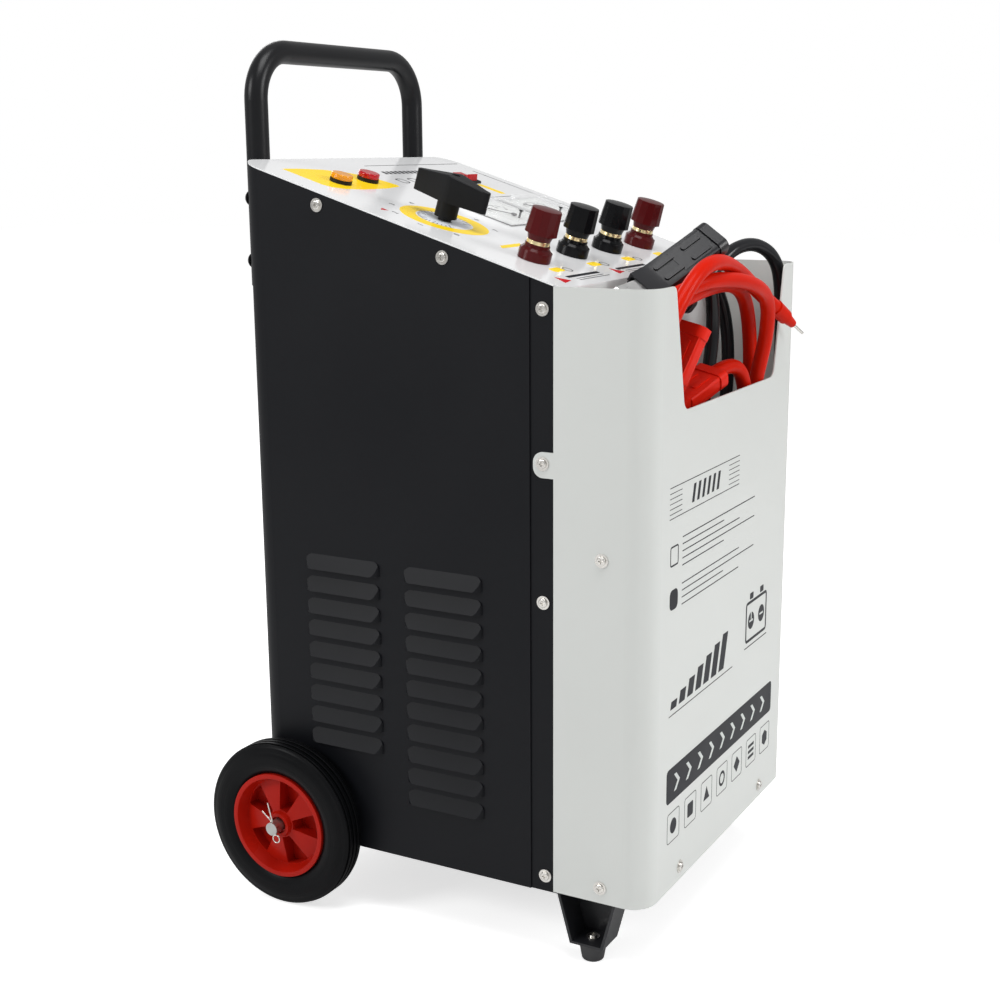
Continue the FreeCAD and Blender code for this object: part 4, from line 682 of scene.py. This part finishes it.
# Two indicator lamps, amber and red: a flat-topped tinted lens on a dark
# moulded ring, with a small body through the panel.
def tinted_lens(name, colour):
    material, tree, shader = new_material(name)
    grain = add_grain(tree, 260, 60)
    tint(tree, shader, grain.outputs["Patch"], colour, [c * 0.85 for c in colour])
    shader.inputs["Transmission Weight"].default_value = 0.25
    shader.inputs["IOR"].default_value = 1.49
    vary_roughness(tree, shader, grain.outputs["Patch"], 0.08, 0.16)
    raise_grain(tree, shader, grain.outputs["Grain"], 0.1, 0.0002)
    return material


softened("lamp_amber_lens", 0.0004, tinted_lens("amber_lens", (1.0, 0.4, 0.01)))
softened("lamp_red_lens", 0.0004, tinted_lens("red_lens", (0.62, 0.006, 0.016)))
painted(["lamp_bodies"], black_moulding)

# The rocker switch snaps into the panel: a red button that tips in a black
# moulded bezel.
red_button = moulded_plastic("red_button", (0.5, 0.015, 0.02), (0.44, 0.012, 0.016), (0.2, 0.3))
softened("rocker_button", 0.0005, red_button)
softened("rocker_frame", 0.0005, black_moulding)


# Two panel meters under clear stepped covers, with a white scale plate, a thin
# needle and a slotted zero screw. The scales are printed on the plates.
def clear_cover():
    material, tree, shader = new_material("clear_cover")
    grain = add_grain(tree, 120, 20)
    tint(tree, shader, grain.outputs["Patch"], (0.93, 0.935, 0.945), (0.89, 0.895, 0.905))
    shader.inputs["Alpha"].default_value = 0.16
    shader.inputs["Coat Weight"].default_value = 0.5
    shader.inputs["Coat Roughness"].default_value = 0.05
    vary_roughness(tree, shader, grain.outputs["Patch"], 0.05, 0.12)
    raise_grain(tree, shader, grain.outputs["Grain"], 0.03, 0.0002)
    return material


SCALE_PLATE_TOP = 3.3
SCALE_INK = 0.08
SCALE_START = 132.0
SCALE_SWEEP = 84.0
dial_white = ink("dial_white", (0.8, 0.81, 0.8), (0.75, 0.76, 0.75), (0.4, 0.5))
painted(["meter_windows"], clear_cover())
painted(["meter_dials"], dial_white)
painted(["meter_needle_left", "meter_needle_right"], dark_ink)
painted(["meter_cases"], black_moulding)
sheet = bmesh.new()
for needle, numbers in (("needle_left_swing", ("0", "10", "20", "30")),
                        ("needle_right_swing", ("0", "5", "10", "15"))):
    x, u = place_on_panel(needle)
    for tick in range(31):
        degrees = SCALE_START - SCALE_SWEEP * tick / 30
        length = 5.0 if tick % 10 == 0 else 3.4 if tick % 5 == 0 else 2.2
        width = 0.45 if tick % 5 else 0.8
        lay_down(sheet, cut_rectangle(length, width), *polar(x, u, 35.5 - length / 2, degrees),
                 degrees)
    for place, number in enumerate(numbers):
        degrees = SCALE_START - SCALE_SWEEP / 3 * place
        lay_digits(sheet, number, 5, *polar(x, u, 26.5, degrees))
thickened(sheet, "meter_scale_print", PANEL @ Matrix.Translation((0, 0, SCALE_PLATE_TOP)),
          SCALE_INK, dark_ink)


# Four binding posts: a moulded base through the panel, a brass stud and ring,
# and a faceted screw cap, two in dark red and two in black.
def phenolic(name, colour, worn, rough):
    return moulded_plastic(name, colour, worn, rough, grain_scale=600, strength=0.12,
                           specular=0.05, coat=0.2, coat_rough=0.07)


brass = plated_metal("turned_brass", (0.94, 0.79, 0.46), (0.9, 0.73, 0.4), (0.16, 0.26))
dark_red = phenolic("dark_red_phenolic", (0.082, 0.006, 0.007), (0.07, 0.005, 0.006), (0.2, 0.3))
glossy_black = phenolic("black_phenolic", (0.0028, 0.003, 0.0038), (0.0042, 0.0044, 0.0052),
                        (0.18, 0.28))
for number, plastic in enumerate((dark_red, glossy_black, glossy_black, dark_red), start=1):
    softened(f"post_cap_{number}", 0.0023, plastic, segments=3, sharp=20)
    softened(f"post_ring_{number}", 0.0003, brass)
softened("post_bases_red", 0.0012, dark_red, segments=3)
softened("post_bases_black", 0.0012, glossy_black, segments=3)
painted(["post_studs"], brass)

# Inside the case stand the transformer, with its laminated core and varnished
# windings, and the rectifier on two aluminium plates.
laminated = plated_metal("laminated_iron", (0.2, 0.2, 0.21), (0.13, 0.13, 0.14), (0.5, 0.7),
                         scratch_scale=300)
varnish = moulded_plastic("varnished_winding", (0.32, 0.09, 0.02), (0.22, 0.06, 0.015), (0.3, 0.5))
aluminium = plated_metal("plain_aluminium", (0.7, 0.7, 0.72), (0.6, 0.6, 0.62), (0.3, 0.45))
painted(["transformer_core"], laminated)
painted(["transformer_coils"], varnish)
painted(["rectifier_plates", "rectifier_diodes"], aluminium)
